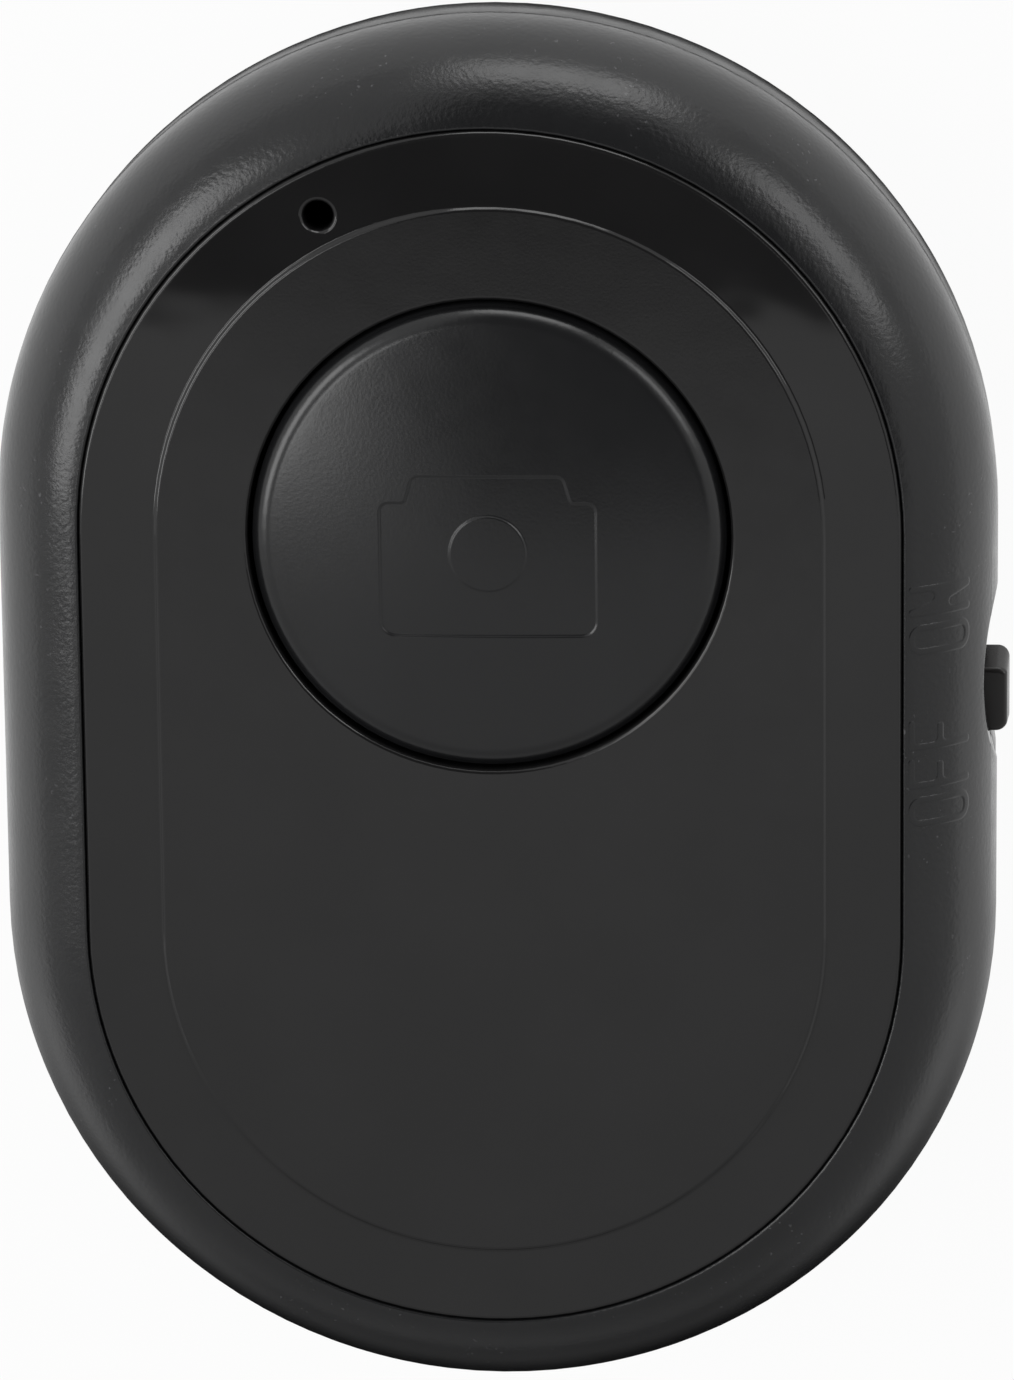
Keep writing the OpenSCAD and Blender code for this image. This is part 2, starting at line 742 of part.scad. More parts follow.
module push_switch_dome() {
    color("#cfc7a8") at_button() translate([0, 0, well_z]) rotate_extrude() intersection() {
        difference() {
            translate([0, snap_rise - snap_ball_r]) circle(snap_ball_r + snap_t, $fn = 180);
            translate([0, snap_rise - snap_ball_r]) circle(snap_ball_r, $fn = 180);
        }
        square([snap_r, snap_rise + snap_t]);
    }
}

module push_switch_legs() {
    color("#c8cacc") at_button() for (x = [-1, 1], y = [-1, 1])
        translate([x * (tact_w + leg_l) / 2 - leg_l / 2, y * tact_w / 3 - small_w / 2, board_z])
            cube([leg_l, small_w, foot_t]);
}

module at_slide(y) {
    translate([slide_x, y, 0]) children();
}

module slide_switch_base() {
    color("#1f1f21") at_slide(switch_y) {
        translate([-slide_w / 2, -slide_l / 2, board_z]) cube([slide_w, slide_l, slide_base_t]);
        for (side = [-1, 1])
            translate([0, side * slide_l / 4, board_low])
                cylinder(r = sheet_t + guide_gap, h = board_t + slide_base_t / 2, $fn = 32);
    }
}

module slide_switch_shell() {
    slot = (stem_w + switch_travel) / 2 + 2 * guide_gap;
    color("#c2c4c7") at_slide(switch_y) difference() {
        translate([-slide_w / 2, -slide_l / 2, slide_z]) cube([slide_w, slide_l, slide_h - slide_base_t]);
        translate([-slide_w / 2 + sheet_t, -slide_l / 2 + sheet_t, slide_z - over])
            cube([slide_w - 2 * sheet_t, slide_l - 2 * sheet_t, slide_h - slide_base_t - sheet_t + over]);
        translate([0, -slot, slide_z - over])
            cube([slide_w, 2 * slot, stem_z + stem_h + guide_gap - slide_z + over]);
    }
}

module slide_switch_slider() {
    block_l = stem_w + switch_travel;
    color("#1a1a1c") at_slide(off_y) {
        translate([-slide_w / 2 + 2 * sheet_t, -block_l / 2, stem_z])
            cube([slide_w - 4 * sheet_t, block_l, stem_h]);
        translate([0, -stem_w / 2, stem_z])
            cube([plate_x + plate_t - slide_x, stem_w, stem_h]);
    }
}

module slide_switch_legs() {
    middle = (slide_leg_count - 1) / 2;
    color("#c8cacc") at_slide(switch_y) {
        for (i = [0:slide_leg_count - 1])
            translate([-slide_w / 2 - small_w, (i - middle) * slide_l / 3 - track_w / 2, board_z])
                cube([small_w, track_w, foot_t]);
        for (side = [-1, 1])
            translate([-slide_w / 4, side * (slide_l + small_w) / 2 - small_w / 2, board_z])
                cube([small_w, small_w, foot_t]);
    }
}

module on_board(place) {
    translate(concat(place, board_z)) children();
}

module radio_chip() {
    dimple_in = chip_w / 7;
    color("#19191b") on_board(chip_at) difference() {
        translate([-chip_w / 2, -chip_w / 2, 0]) cube([chip_w, chip_w, chip_h]);
        // small dimple that marks the first pad
        translate([-chip_w / 2 + dimple_in, chip_w / 2 - dimple_in, chip_h - track_t])
            cylinder(d = dimple_in / 2, h = over);
    }
}

module memory_chip() {
    color("#19191b") on_board(memory_at)
        translate([-memory_w / 2, -memory_l / 2, foot_t]) cube([memory_w, memory_l, memory_h - foot_t]);
}

// Gull-wing leads, four on each side.
module memory_chip_leads() {
    pitch = memory_l / lead_count;
    middle = (lead_count - 1) / 2;
    color("#c8cacc") on_board(memory_at)
        for (side = [0, 1], i = [0:lead_count - 1])
            mirror([side, 0, 0]) translate([memory_w / 2, (i - middle) * pitch + track_w / 2, 0])
                rotate([90, 0, 0]) linear_extrude(track_w) {
                    translate([lead_l / 3, 0]) square([lead_l * 2 / 3, foot_t]);
                    translate([lead_l / 3, 0]) square([foot_t, memory_h / 2]);
                    translate([0, memory_h / 2 - foot_t]) square([lead_l / 3 + foot_t, foot_t]);
                }
}

module crystal() {
    color("#d0d1d3") on_board(crystal_at) {
        translate([-crystal_l / 2, -crystal_w / 2, 0]) cube([crystal_l, crystal_w, crystal_h / 2]);
        translate([-crystal_l / 2 + sheet_t, -crystal_w / 2 + sheet_t, 0])
            cube([crystal_l - 2 * sheet_t, crystal_w - 2 * sheet_t, crystal_h]);
    }
}

module small_bodies(places, height) {
    length = small_l - 2 * end_l;
    for (p = places)
        on_board(p) translate([-length / 2, -small_w / 2, 0]) cube([length, small_w, height]);
}

module small_ends(places, height) {
    for (p = places, side = [-1, 1])
        on_board(p) translate([side * (small_l - end_l) / 2 - end_l / 2, -small_w / 2, 0])
            cube([end_l, small_w, height]);
}

module chip_capacitors() {
    color("#b08d5c") small_bodies(capacitor_places, capacitor_h);
}

module chip_resistors() {
    color("#1c1c1e") small_bodies(resistor_places, resistor_h);
}

module chip_ends() {
    color("#cfd0d2") {
        small_ends(capacitor_places, capacitor_h);
        small_ends(resistor_places, resistor_h);
    }
}

module status_light_base() {
    color("#e8e6dc") translate(concat(light_at, board_z))
        translate([-small_l / 2, -small_w / 2, 0]) cube([small_l, small_w, lamp_h / 2]);
}

module status_light_lens() {
    color("#dfe8e0") translate(concat(light_at, board_z + lamp_h / 2))
        translate([-small_l / 2 + end_l, -small_w / 2, 0]) cube([small_l - 2 * end_l, small_w, lamp_h / 2]);
}

front_housing();
face_panel();
shutter_button();
switch_knob();
back_cover();
circuit_board();
board_screws();
aerial_track();
coin_cell_can();
coin_cell_seal();
coin_cell_cap();
battery_clip();
negative_contact();
push_switch_base();
push_switch_cover();
push_switch_plunger();
push_switch_dome();
push_switch_legs();
slide_switch_base();
slide_switch_shell();
slide_switch_slider();
slide_switch_legs();
radio_chip();
memory_chip();
memory_chip_leads();
crystal();
chip_capacitors();
chip_resistors();
chip_ends();
status_light_base();
status_light_lens();
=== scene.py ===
# Finished look of a pocket camera shutter remote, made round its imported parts.
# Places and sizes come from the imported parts. Outlines are drawn in millimetres, objects are in metres.
import math
from functools import partial

import bmesh
import bpy
import numpy as np
from bpy.props import FloatProperty, FloatVectorProperty, PointerProperty
from bpy.types import NodeSocket, Operator, Panel, PropertyGroup
from mathutils import Matrix, Vector
from mathutils.geometry import delaunay_2d_cdt


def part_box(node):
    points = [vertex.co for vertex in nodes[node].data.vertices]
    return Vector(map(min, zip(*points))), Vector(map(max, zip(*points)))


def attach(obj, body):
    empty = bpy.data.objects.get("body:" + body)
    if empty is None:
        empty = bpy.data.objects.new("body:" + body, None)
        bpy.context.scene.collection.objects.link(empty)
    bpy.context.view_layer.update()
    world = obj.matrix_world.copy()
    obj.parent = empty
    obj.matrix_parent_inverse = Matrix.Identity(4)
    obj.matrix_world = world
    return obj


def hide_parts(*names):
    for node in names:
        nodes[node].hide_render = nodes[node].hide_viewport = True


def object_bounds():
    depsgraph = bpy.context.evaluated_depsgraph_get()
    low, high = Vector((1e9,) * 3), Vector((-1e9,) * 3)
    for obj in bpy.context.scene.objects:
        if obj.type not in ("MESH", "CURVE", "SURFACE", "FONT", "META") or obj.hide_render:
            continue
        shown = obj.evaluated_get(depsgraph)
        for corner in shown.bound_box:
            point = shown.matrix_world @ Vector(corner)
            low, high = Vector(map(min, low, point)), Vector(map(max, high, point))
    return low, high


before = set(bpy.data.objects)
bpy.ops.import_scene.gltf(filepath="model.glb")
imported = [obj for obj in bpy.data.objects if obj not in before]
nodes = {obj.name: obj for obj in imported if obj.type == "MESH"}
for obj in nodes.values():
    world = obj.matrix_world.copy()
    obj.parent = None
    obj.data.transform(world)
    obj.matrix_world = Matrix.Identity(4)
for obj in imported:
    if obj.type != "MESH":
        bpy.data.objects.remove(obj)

bl_info = {
    "name": "Camera shutter remote",
    "version": (1, 0, 0),
    "blender": (4, 5, 0),
    "location": "View3D > Sidebar > Remote",
    "description": "Finishes a pocket camera shutter remote: case, button cap, lettering, board, cell and stage",
    "category": "Object",
}

MM = 0.001
TOUCH = 0.001 * MM  # points closer than this are one point
PLASTIC_IOR = 1.54
cad_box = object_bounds()


def top_of(node):
    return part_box(node)[1]


def bottom_of(node):
    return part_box(node)[0]


def points_of(node):
    """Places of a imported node's vertices, in metres."""
    return [v.co for v in nodes[node].data.vertices]


def lowest_at_side(node, reach):
    """Lowest point, in metres, of a node's wall past a reach to the side."""
    return min(p.z for p in points_of(node) if p.x > reach)


def widest_at_top(node):
    """Half width, in metres, of a node's highest face."""
    top = top_of(node).z
    return max(p.x for p in points_of(node) if p.z > top - TOUCH)


# the case's outline is a straight middle between two round ends
half_w = -bottom_of("front_housing").x
half_l = top_of("front_housing").y
end_y = half_l - half_w
face_z = top_of("front_housing").z
field_z = top_of("face_panel").z
panel_hw = top_of("face_panel").x
field_hw = widest_at_top("face_panel")
part_z = lowest_at_side("front_housing", half_w - 0.05 * MM)
cap_top = top_of("shutter_button").z
cap_r = max(math.hypot(p.x, p.y - end_y) for p in points_of("shutter_button") if p.z > field_z)


def mm(name, description, default):
    """A size, with its default in millimetres."""
    return FloatProperty(name=name, description=description, default=default * MM, unit="LENGTH")


def degrees(name, description, default):
    """An angle, with its default in degrees."""
    return FloatProperty(name=name, description=description, default=math.radians(default), subtype="ANGLE")


def fraction(name, description, default):
    """A number from 0 to 1."""
    return FloatProperty(name=name, description=description, default=default, min=0, max=1, subtype="FACTOR")


def strength(name, description, default):
    """A brightness."""
    return FloatProperty(name=name, description=description, default=default, min=0)


def tint(name, description, default):
    """A colour in linear red, green and blue."""
    return FloatVectorProperty(
        name=name, description=description, default=default, subtype="COLOR", size=3, min=0, max=1)


class CapSettings(PropertyGroup):
    """Domed button cap and the mark pressed into it."""

    edge_round: mm("Edge radius", "Radius of the broad rounding round the dome", 0.8)
    edge_turn: degrees("Edge turn", "Lean at which the broad rounding gives way to the tight one", 59)
    lip_round: mm("Lip radius", "Radius of the tight rounding at the wall of the cap", 0.15)
    dome_rise: mm("Dome rise", "Rise of the dome over its rounded edge", 0.46)
    mark_depth: mm("Mark depth", "Depth of the camera mark", 0.05)
    mark_soft: mm("Mark edge", "Width of the sloping wall of the mark", 0.09)
    mark_half: mm("Mark half width", "Half the width of the camera mark", 3.62)
    lens_r: mm("Lens radius", "Radius of the round island in the mark", 1.29)


class LetterSettings(PropertyGroup):
    """Raised ON and OFF beside the switch."""

    height: mm("Letter height", "Height of the letters along the curve of the rim", 2.6)
    width: mm("Letter width", "Width of one letter", 1.12)
    stroke: mm("Stroke", "Width of a stroke", 0.3)
    space: mm("Letter space", "Gap between two letters", 0.22)
    rise: mm("Rise", "Height of the letters over the rim", 0.028)
    inset: mm("Inset", "Distance from the seam to the tops of the letters", 0.15)
    on_y: mm("ON place", "Start of the word ON along the case", 2.85)
    off_y: mm("OFF place", "Start of the word OFF along the case", -3.15)


class CaseSettings(PropertyGroup):
    """Moulded plastic of the case, panel and cap."""

    case_colour: tint("Case colour", "Colour of the moulded case", (0.0115, 0.0117, 0.0125))
    panel_colour: tint("Panel colour", "Colour of the face panel", (0.0105, 0.0103, 0.0106))
    case_rough: fraction("Case roughness", "Roughness of the spark-grained case", 0.22)
    cap_rough: fraction("Cap roughness", "Roughness of the button cap", 0.23)
    field_rough: fraction("Field roughness", "Roughness of the satin field", 0.11)
    ring_rough: fraction("Ring roughness", "Roughness of the glossy ring", 0.025)
    seam: mm("Seam", "Gap in the seam round the panel", 0.03)


class KnobSettings(PropertyGroup):
    """Knob of the power switch."""

    slope: mm("Slope", "How far the end towards the button slopes inwards from its foot to its top", 0.55)
    draft: mm("Draft", "How far the other end slopes inwards", 0.1)
    lean: mm("Lean", "How far the outer side leans inwards from its foot to its top", 0.08)
    edge: mm("Edge", "Rounding of the edges", 0.16)
    colour: tint("Colour", "Colour of the knob", (0.016, 0.0145, 0.014))


class BoardSettings(PropertyGroup):
    """Tracks, vias and print on the circuit board."""

    track: mm("Track width", "Width of the copper tracks", 0.28)
    copper: mm("Track height", "Height of the tracks over the board", 0.03)
    via_r: mm("Via radius", "Outer radius of a via's ring", 0.34)
    pad_grow: mm("Pad margin", "How far a tinned pad reaches past what is soldered to it", 0.45)
    print_width: mm("Print width", "Width of the printed outlines", 0.15)


class StageSettings(PropertyGroup):
    """Camera, pale floor and soft lamps."""

    tilt: degrees("Tilt", "Lean of the camera from straight above towards the button end", 15.51)
    swing: degrees("Swing", "Lean of the camera towards the switch side", 3.56)
    roll: degrees("Roll", "Turn of the camera about its own axis", -0.64)
    distance: mm("Distance", "Distance from the camera to its target", 285.17)
    lens: FloatProperty(
        name="Lens", description="Focal length in millimetres on a 36 mm sensor", default=218.7)
    target: FloatVectorProperty(
        name="Target", description="Point that the camera looks at", subtype="TRANSLATION",
        default=(0.3544 * MM, 0.8298 * MM, 8.0 * MM))
    floor_size: mm("Floor", "Side of the pale floor", 2400)
    room: strength("Room light", "Strength of the light from the sides of the room", 0.76)
    room_near: strength("Near light", "Strength of the light just past the overhead shade", 0.6)
    room_front: strength("Front light", "Strength of the light from the side away from the button", 0.38)
    shade: strength("Overhead shade", "Strength of the dark part of the room right overhead", 0.065)
    lamp_reach: mm("Lamp distance", "Distance from the remote to the softboxes", 500)
    floor_white: fraction("Floor white", "Share of plain white in the floor that the camera sees", 0.95)


# softboxes: compass angle from the switch side and angle from straight up in degrees, width and height in
# metres, and brightness
LAMPS = {
    "back_box": (82, 79, 0.28, 0.17, 2.45),
    "left_box": (164, 57, 0.42, 0.18, 3.45),
    "right_box": (34, 63, 0.27, 0.14, 2.0),
    "overhead_box": (172, 21, 0.20, 0.10, 3.6),
}


# lines of the tracks in millimetres, a via at each end, on the cell's side and on the button's side
CELL_SIDE = [
    [(-8.2, 12.6), (-10.9, 9.9), (-10.9, -4.6)],
    [(-6.7, 13.2), (-9.7, 10.2), (-9.7, 5.2), (-8.6, 4.1)],
    [(-5.7, 13.2), (-5.7, 8.4), (-2.3, 5.0), (-2.3, 4.0)],
    [(-4.8, 13.2), (-4.8, 8.8), (-1.4, 5.4), (3.2, 5.4), (5.0, 7.2), (5.0, 12.4)],
    [(-3.9, 13.2), (-3.9, 9.2), (-0.8, 6.1), (2.9, 6.1), (4.1, 7.3), (4.1, 13.4), (2.5, 15.0), (-2.0, 15.0)],
    [(6.1, 12.4), (6.1, 7.4), (9.0, 4.5), (9.0, 2.6)],
    [(10.9, -4.6), (10.9, 5.8), (8.0, 8.7), (8.0, 11.6)],
    [(-1.0, 17.8), (-2.6, 16.2), (-6.0, 16.2)],
    [(2.6, -18.4), (6.2, -17.2), (9.6, -13.8), (9.6, -12.6)],
    [(-2.6, -18.4), (-6.2, -17.2), (-9.6, -13.8), (-12.2, -9.6), (-12.2, -1.0)],
]
BUTTON_SIDE = [
    [(-3.8, 10.6), (-2.6, 11.8), (2.6, 11.8), (4.6, 9.8), (4.6, 8.9)],
    [(-4.6, 10.2), (-4.6, 13.6), (-2.2, 16.0), (-1.2, 16.6)],
    [(-8.4, 10.2), (-8.4, 14.0), (-6.6, 16.6)],
    [(-9.8, 8.6), (-12.2, 6.2), (-12.2, -4.8), (-8.4, -8.6)],
    [(7.4, 4.9), (9.6, 4.9), (10.2, 4.3)],
    [(-3.2, -1.4), (-1.4, -3.2), (6.8, -3.2), (9.0, -1.0), (9.0, 1.4)],
    [(-6.0, -2.0), (-6.0, -6.0), (-2.0, -10.0), (6.0, -10.0), (9.4, -6.6)],
    [(-7.2, -2.0), (-7.2, -6.5), (-2.5, -11.2), (2.0, -11.2), (5.4, -14.6)],
]


# outlines, in millimetres

def rounded(corners, step=0.08, span=0.2):
    """A closed outline with rounded corners, each given as (x, y, radius): its points and their outward sides."""
    points = []
    for i, (x, y, radius) in enumerate(corners):
        here = Vector((x, y))
        into = (here - Vector(corners[i - 1][:2])).normalized()
        out = (Vector(corners[(i + 1) % len(corners)][:2]) - here).normalized()
        turn = math.atan2(into.x * out.y - into.y * out.x, into.dot(out))
        side = math.copysign(1.0, turn)
        start = here - into * radius * math.tan(abs(turn) / 2)
        centre = start + Vector((-into.y, into.x)) * side * radius
        arm = (start - centre).normalized()
        count = max(3, math.ceil(abs(turn) * radius / step))
        for k in range(count + 1):
            turned = Matrix.Rotation(turn * k / count, 2) @ arm
            points.append((centre + turned * radius, turned * side))
    return spread(points, span)


def spread(points, span):
    """The same closed outline with more points where they lie further apart than span."""
    more = []
    for i, (point, outward) in enumerate(points):
        after, next_outward = points[(i + 1) % len(points)]
        count = max(1, math.ceil((after - point).length / span))
        more += [
            (point.lerp(after, k / count), outward.lerp(next_outward, k / count)) for k in range(count)
        ]
    return more


def circle_outline(x, y, radius, step=0.1):
    """A round outline: its points and their outward sides."""
    count = max(24, math.ceil(2 * math.pi * radius / step))
    arms = [Vector((math.cos(2 * math.pi * k / count), math.sin(2 * math.pi * k / count))) for k in range(count)]
    return [(Vector((x, y)) + arm * radius, arm) for arm in arms]


def inside(point, outline):
    """True if a point lies in a closed outline."""
    found = False
    for i, a in enumerate(outline):
        b = outline[i - 1]
        if (a.y > point.y) != (b.y > point.y):
            if point.x < a.x + (b.x - a.x) * (point.y - a.y) / (b.y - a.y):
                found = not found
    return found


def smooth_step(t):
    """Runs from 0 to 1 with level ends."""
    return t * t * (3 - 2 * t)


def band(bm, a, b):
    """Joins two closed loops of equally many points with a band of faces."""
    for k in range(len(a)):
        bm.faces.new((a[k - 1], a[k], b[k], b[k - 1]))


class Mark:
    """A closed form that rises from, or sinks into, the surface that it lies on, with a soft sloping wall.

    The first and last strips of the wall are level, so the shading of the wall stays off the surface beside it.
    """

    SHARES = (-0.25, 0.0, 0.17, 0.33, 0.5, 0.67, 0.83, 1.0, 1.25)

    def __init__(self, outline, rise, soft):
        self.rise = rise
        self.loops = []
        for share in self.SHARES:
            points = [point + outward * soft * (0.5 - share) for point, outward in outline]
            self.loops.append((points, rise * smooth_step(min(max(share, 0.0), 1.0))))

    def holds(self, point):
        return inside(point, self.loops[-1][0])

    def reaches(self, point):
        return inside(point, self.loops[0][0])

    def lift(self, point):
        return self.rise if self.holds(point) else 0.0


def relief(bm, surface, marks, border=None, spacing=0.5, cut_outside=False, holes=()):
    """Meshes a surface with marks in it. surface(x, y, lift) gives a place for a flat point."""
    flat, lifts, edges, ends = [], [], [], {}

    def add_loop(points, own):
        start = len(flat)
        flat.extend(points)
        lifts.extend(own)
        edges.extend((start + k, start + (k + 1) % len(points)) for k in range(len(points)))
        return start

    def lift_beside(mark, point):
        return sum(other.lift(point) for other in marks if other is not mark)

    if border:
        add_loop(border, [0.0] * len(border))
    for mark in marks:
        for level in (0, -1):
            points, rise = mark.loops[level]
            ends[mark, level] = add_loop(points, [rise + lift_beside(mark, p) for p in points])
    taken = np.array([p[:] for p in flat])
    low, high = taken.min(0), taken.max(0)
    columns, rows = (np.ceil((high - low) / spacing)).astype(int) + 1
    for i in range(columns):
        for j in range(rows):
            point = Vector((low[0] + (i + 0.5 * (j % 2)) * spacing, low[1] + j * spacing))
            near = np.hypot(taken[:, 0] - point.x, taken[:, 1] - point.y).min()
            if near < 0.4 * spacing or (border and not inside(point, border)):
                continue
            flat.append(point)
            lifts.append(sum(m.lift(point) for m in marks))
    points, _, faces, sources, _, _ = delaunay_2d_cdt(flat, edges, [], 1, 1e-5)
    made = [bm.verts.new(surface(p.x, p.y, lifts[source[0]])) for p, source in zip(points, sources)]
    where = {k: vert for vert, source in zip(made, sources) for k in source}
    for face in faces:
        middle = sum((points[k] for k in face), Vector((0, 0))) / len(face)
        on_wall = any(mark.reaches(middle) and not mark.holds(middle) for mark in marks)
        outside = cut_outside and not any(mark.reaches(middle) for mark in marks)
        if on_wall or outside or any(hole.holds(middle) for hole in holes):
            continue
        bm.faces.new([made[k] for k in face])
    for mark in marks:
        count = len(mark.loops[0][0])
        rings = [[where[ends[mark, 0] + k] for k in range(count)]]
        for level, rise in mark.loops[1:-1]:
            rings.append([bm.verts.new(surface(p.x, p.y, rise + lift_beside(mark, p))) for p in level])
        rings.append([where[ends[mark, -1] + k] for k in range(count)])
        for outer, inner in zip(rings, rings[1:]):
            band(bm, outer, inner)
    bmesh.ops.delete(bm, geom=[v for v in made if not v.link_faces], context="VERTS")


def as_mesh(name, bm, material):
    """Turns a finished bmesh into a mesh with a material."""
    mesh = bpy.data.meshes.new(name)
    bm.to_mesh(mesh)
    bm.free()
    mesh.materials.append(material)
    return mesh


def add_object(name, data):
    """Makes an object in the scene."""
    made = bpy.data.objects.new(name, data)
    bpy.context.scene.collection.objects.link(made)
    return made


def new_piece(name, bm, material, body, sharp=math.radians(40)):
    """Makes a smooth-shaded piece that rides on a body."""
    bmesh.ops.recalc_face_normals(bm, faces=bm.faces)
    mesh = as_mesh(name, bm, material)
    mesh.polygons.foreach_set("use_smooth", [True] * len(mesh.polygons))
    mesh.set_sharp_from_angle(angle=sharp)
    piece = add_object(name, mesh)
    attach(piece, body)
    return piece


def dress(material, *names):
    """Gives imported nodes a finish."""
    for name in names:
        node = nodes[name]
        if not node.material_slots:
            node.data.materials.append(material)
        for slot in node.material_slots:
            slot.material = material


def round_edges(piece, width, steps, limit):
    """Rounds the edges that turn more than a limit in degrees."""
    bevel = piece.modifiers.new("soft_edges", "BEVEL")
    bevel.width = width
    bevel.segments = steps
    bevel.limit_method = "ANGLE"
    bevel.angle_limit = math.radians(limit)
    bevel.use_clamp_overlap = False
    bevel.harden_normals = True


def soften(names, width, steps=3, limit=40):
    """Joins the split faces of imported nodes, then rounds their edges."""
    for name in names:
        weld = nodes[name].modifiers.new("joined_faces", "WELD")
        weld.merge_threshold = TOUCH
        flat = nodes[name].modifiers.new("joined_flats", "DECIMATE")
        flat.decimate_type = "DISSOLVE"
        flat.angle_limit = math.radians(0.5)
        round_edges(nodes[name], width, steps, limit)


# finishes

class Graph:
    """Adds and joins the nodes of one tree."""

    def __init__(self, tree):
        self.tree = tree
        self.tree.nodes.clear()

    def add(self, kind, feeds=None, **values):
        """Adds a node, sets its own values and feeds its inputs, each by its name or place."""
        node = self.tree.nodes.new(kind)
        for key, value in values.items():
            setattr(node, key, value)
        for key, value in (feeds or {}).items():
            self.feed(node.inputs[key], value)
        return node

    def feed(self, socket, value):
        """Sets a socket to a plain value, or links another socket to it."""
        if isinstance(value, NodeSocket):
            self.tree.links.new(value, socket)
        else:
            socket.default_value = value

    def ramp(self, source, low, high, start=0.3, end=0.7):
        """Maps a value from start..end to low..high, smoothly."""
        feeds = {"Value": source, "From Min": start, "From Max": end, "To Min": low, "To Max": high}
        return self.add("ShaderNodeMapRange", feeds, interpolation_type="SMOOTHSTEP").outputs["Result"]

    def math(self, operation, a, b=0.0):
        return self.add("ShaderNodeMath", {0: a, 1: b}, operation=operation).outputs[0]

    def product(self, *factors):
        """Multiplies plain values and sockets."""
        total = factors[0]
        for factor in factors[1:]:
            total = self.math("MULTIPLY", total, factor)
        return total

    def split(self, place):
        return self.add("ShaderNodeSeparateXYZ", {0: place}).outputs

    def hypot(self, a, b):
        return self.math("SQRT", self.math("ADD", self.product(a, a), self.product(b, b)))

    def pill_distance(self, place, end):
        """Distance from the middle line of the case, which is the same round its whole outline."""
        x, y, _ = self.split(place)
        past = self.math("MAXIMUM", self.math("SUBTRACT", self.math("ABSOLUTE", y), end), 0.0)
        return self.hypot(x, past)


class Finish(Graph):
    """A material's node tree, with texture coordinates in millimetres."""

    def __init__(self, name):
        self.material = bpy.data.materials.new(name)
        self.material.use_nodes = True
        super().__init__(self.material.node_tree)
        self.shader = self.add("ShaderNodeBsdfPrincipled")
        self.add("ShaderNodeOutputMaterial", {0: self.shader.outputs[0]})
        place = self.add("ShaderNodeTexCoord").outputs["Object"]
        self.place = self.add("ShaderNodeMapping", {"Vector": place, "Scale": (1 / MM,) * 3}).outputs[0]

    def noise(self, scale, detail=2.0, stretch=None):
        """Noise with features of about 1/scale millimetres."""
        place = self.place
        if stretch:
            place = self.add("ShaderNodeMapping", {"Vector": place, "Scale": stretch}).outputs[0]
        feeds = {"Vector": place, "Scale": scale, "Detail": detail}
        return self.add("ShaderNodeTexNoise", feeds).outputs["Fac"]

    def mix(self, factor, a, b):
        """Mixes two colours, each plain or a socket."""
        a, b = (value if isinstance(value, NodeSocket) else (*value, 1) for value in (a, b))
        return self.add("ShaderNodeMix", {"Factor": factor, 6: a, 7: b}, data_type="RGBA").outputs[2]

    def set(self, **values):
        """Sets the shader's inputs by short names, each to a plain value or a socket."""
        names = {
            "metal": "Metallic", "rough": "Roughness", "ior": "IOR", "coat": "Coat Weight",
            "through": "Transmission Weight", "colour": "Base Color",
        }
        for key, value in values.items():
            self.feed(self.shader.inputs[names[key]], value)

    def bump(self, *layers):
        """Stacks height layers, each a socket and its height in millimetres."""
        normal = None
        for source, height in layers:
            node = self.add("ShaderNodeBump", {"Strength": 1, "Distance": height * MM, "Height": source})
            if normal:
                self.feed(node.inputs["Normal"], normal)
            normal = node.outputs[0]
        self.feed(self.shader.inputs["Normal"], normal)
        return self


def lighter(colour, share):
    """A colour times a share."""
    return tuple(min(1.0, c * share) for c in colour)


def moulded(name, colour, rough, grain, height, swirl=0.12, dust=0.0):
    """Spark-grained moulded plastic: fine grain, faint flow marks, an uneven sheen and specks of dust.

    The grain has features of about 1/grain millimetres and the given height in millimetres.
    """
    finish = Finish(name)
    flow = finish.noise(0.16, 3.0, stretch=(1, 0.35, 1))
    fine = finish.noise(grain, 3.0)
    handled = finish.noise(0.9, 4.0)
    tone = finish.mix(finish.ramp(flow, 0, 1), lighter(colour, 0.9), lighter(colour, 1.15))
    if dust:
        patches = finish.ramp(finish.noise(0.33), 0, dust, 0.5, 0.68)
        specks = finish.ramp(finish.noise(5.5, 1.0), 0, 1, 0.70, 0.76)
        tone = finish.mix(finish.product(specks, patches), tone, (0.11, 0.11, 0.115))
    sheen = finish.ramp(handled, rough * (1 - swirl), rough * (1 + swirl))
    finish.set(colour=tone, ior=PLASTIC_IOR, rough=sheen)
    return finish.bump((fine, height), (flow, 0.004)).material


def panel_finish(case):
    """One moulding with a fine matte field and a polished ring."""
    finish = Finish("panel_plastic")
    out = finish.pill_distance(finish.place, end_y / MM)
    inner, outer = field_hw / MM, panel_hw / MM
    ring = finish.product(finish.ramp(out, 0, 1, inner + 0.06, inner + 0.14),
                          finish.ramp(out, 1, 0, outer - 0.2, outer - 0.12))
    flow = finish.noise(0.2, 3.0)
    fine = finish.noise(12.0, 3.0)
    wave = finish.noise(0.35, 1.0)
    matte = finish.ramp(finish.noise(1.1, 4.0), case.field_rough * 0.92, case.field_rough * 1.08)
    rough = finish.add("ShaderNodeMix", {0: ring, 2: matte, 3: case.ring_rough}, data_type="FLOAT")
    field_height = finish.product(fine, finish.math("SUBTRACT", 1.0, ring))
    finish.set(
        colour=finish.mix(finish.ramp(flow, 0, 1), lighter(case.panel_colour, 0.92),
                          lighter(case.panel_colour, 1.12)),
        rough=rough.outputs[0],
        ior=PLASTIC_IOR,
    )
    return finish.bump((field_height, 0.0006), (wave, 0.004)).material


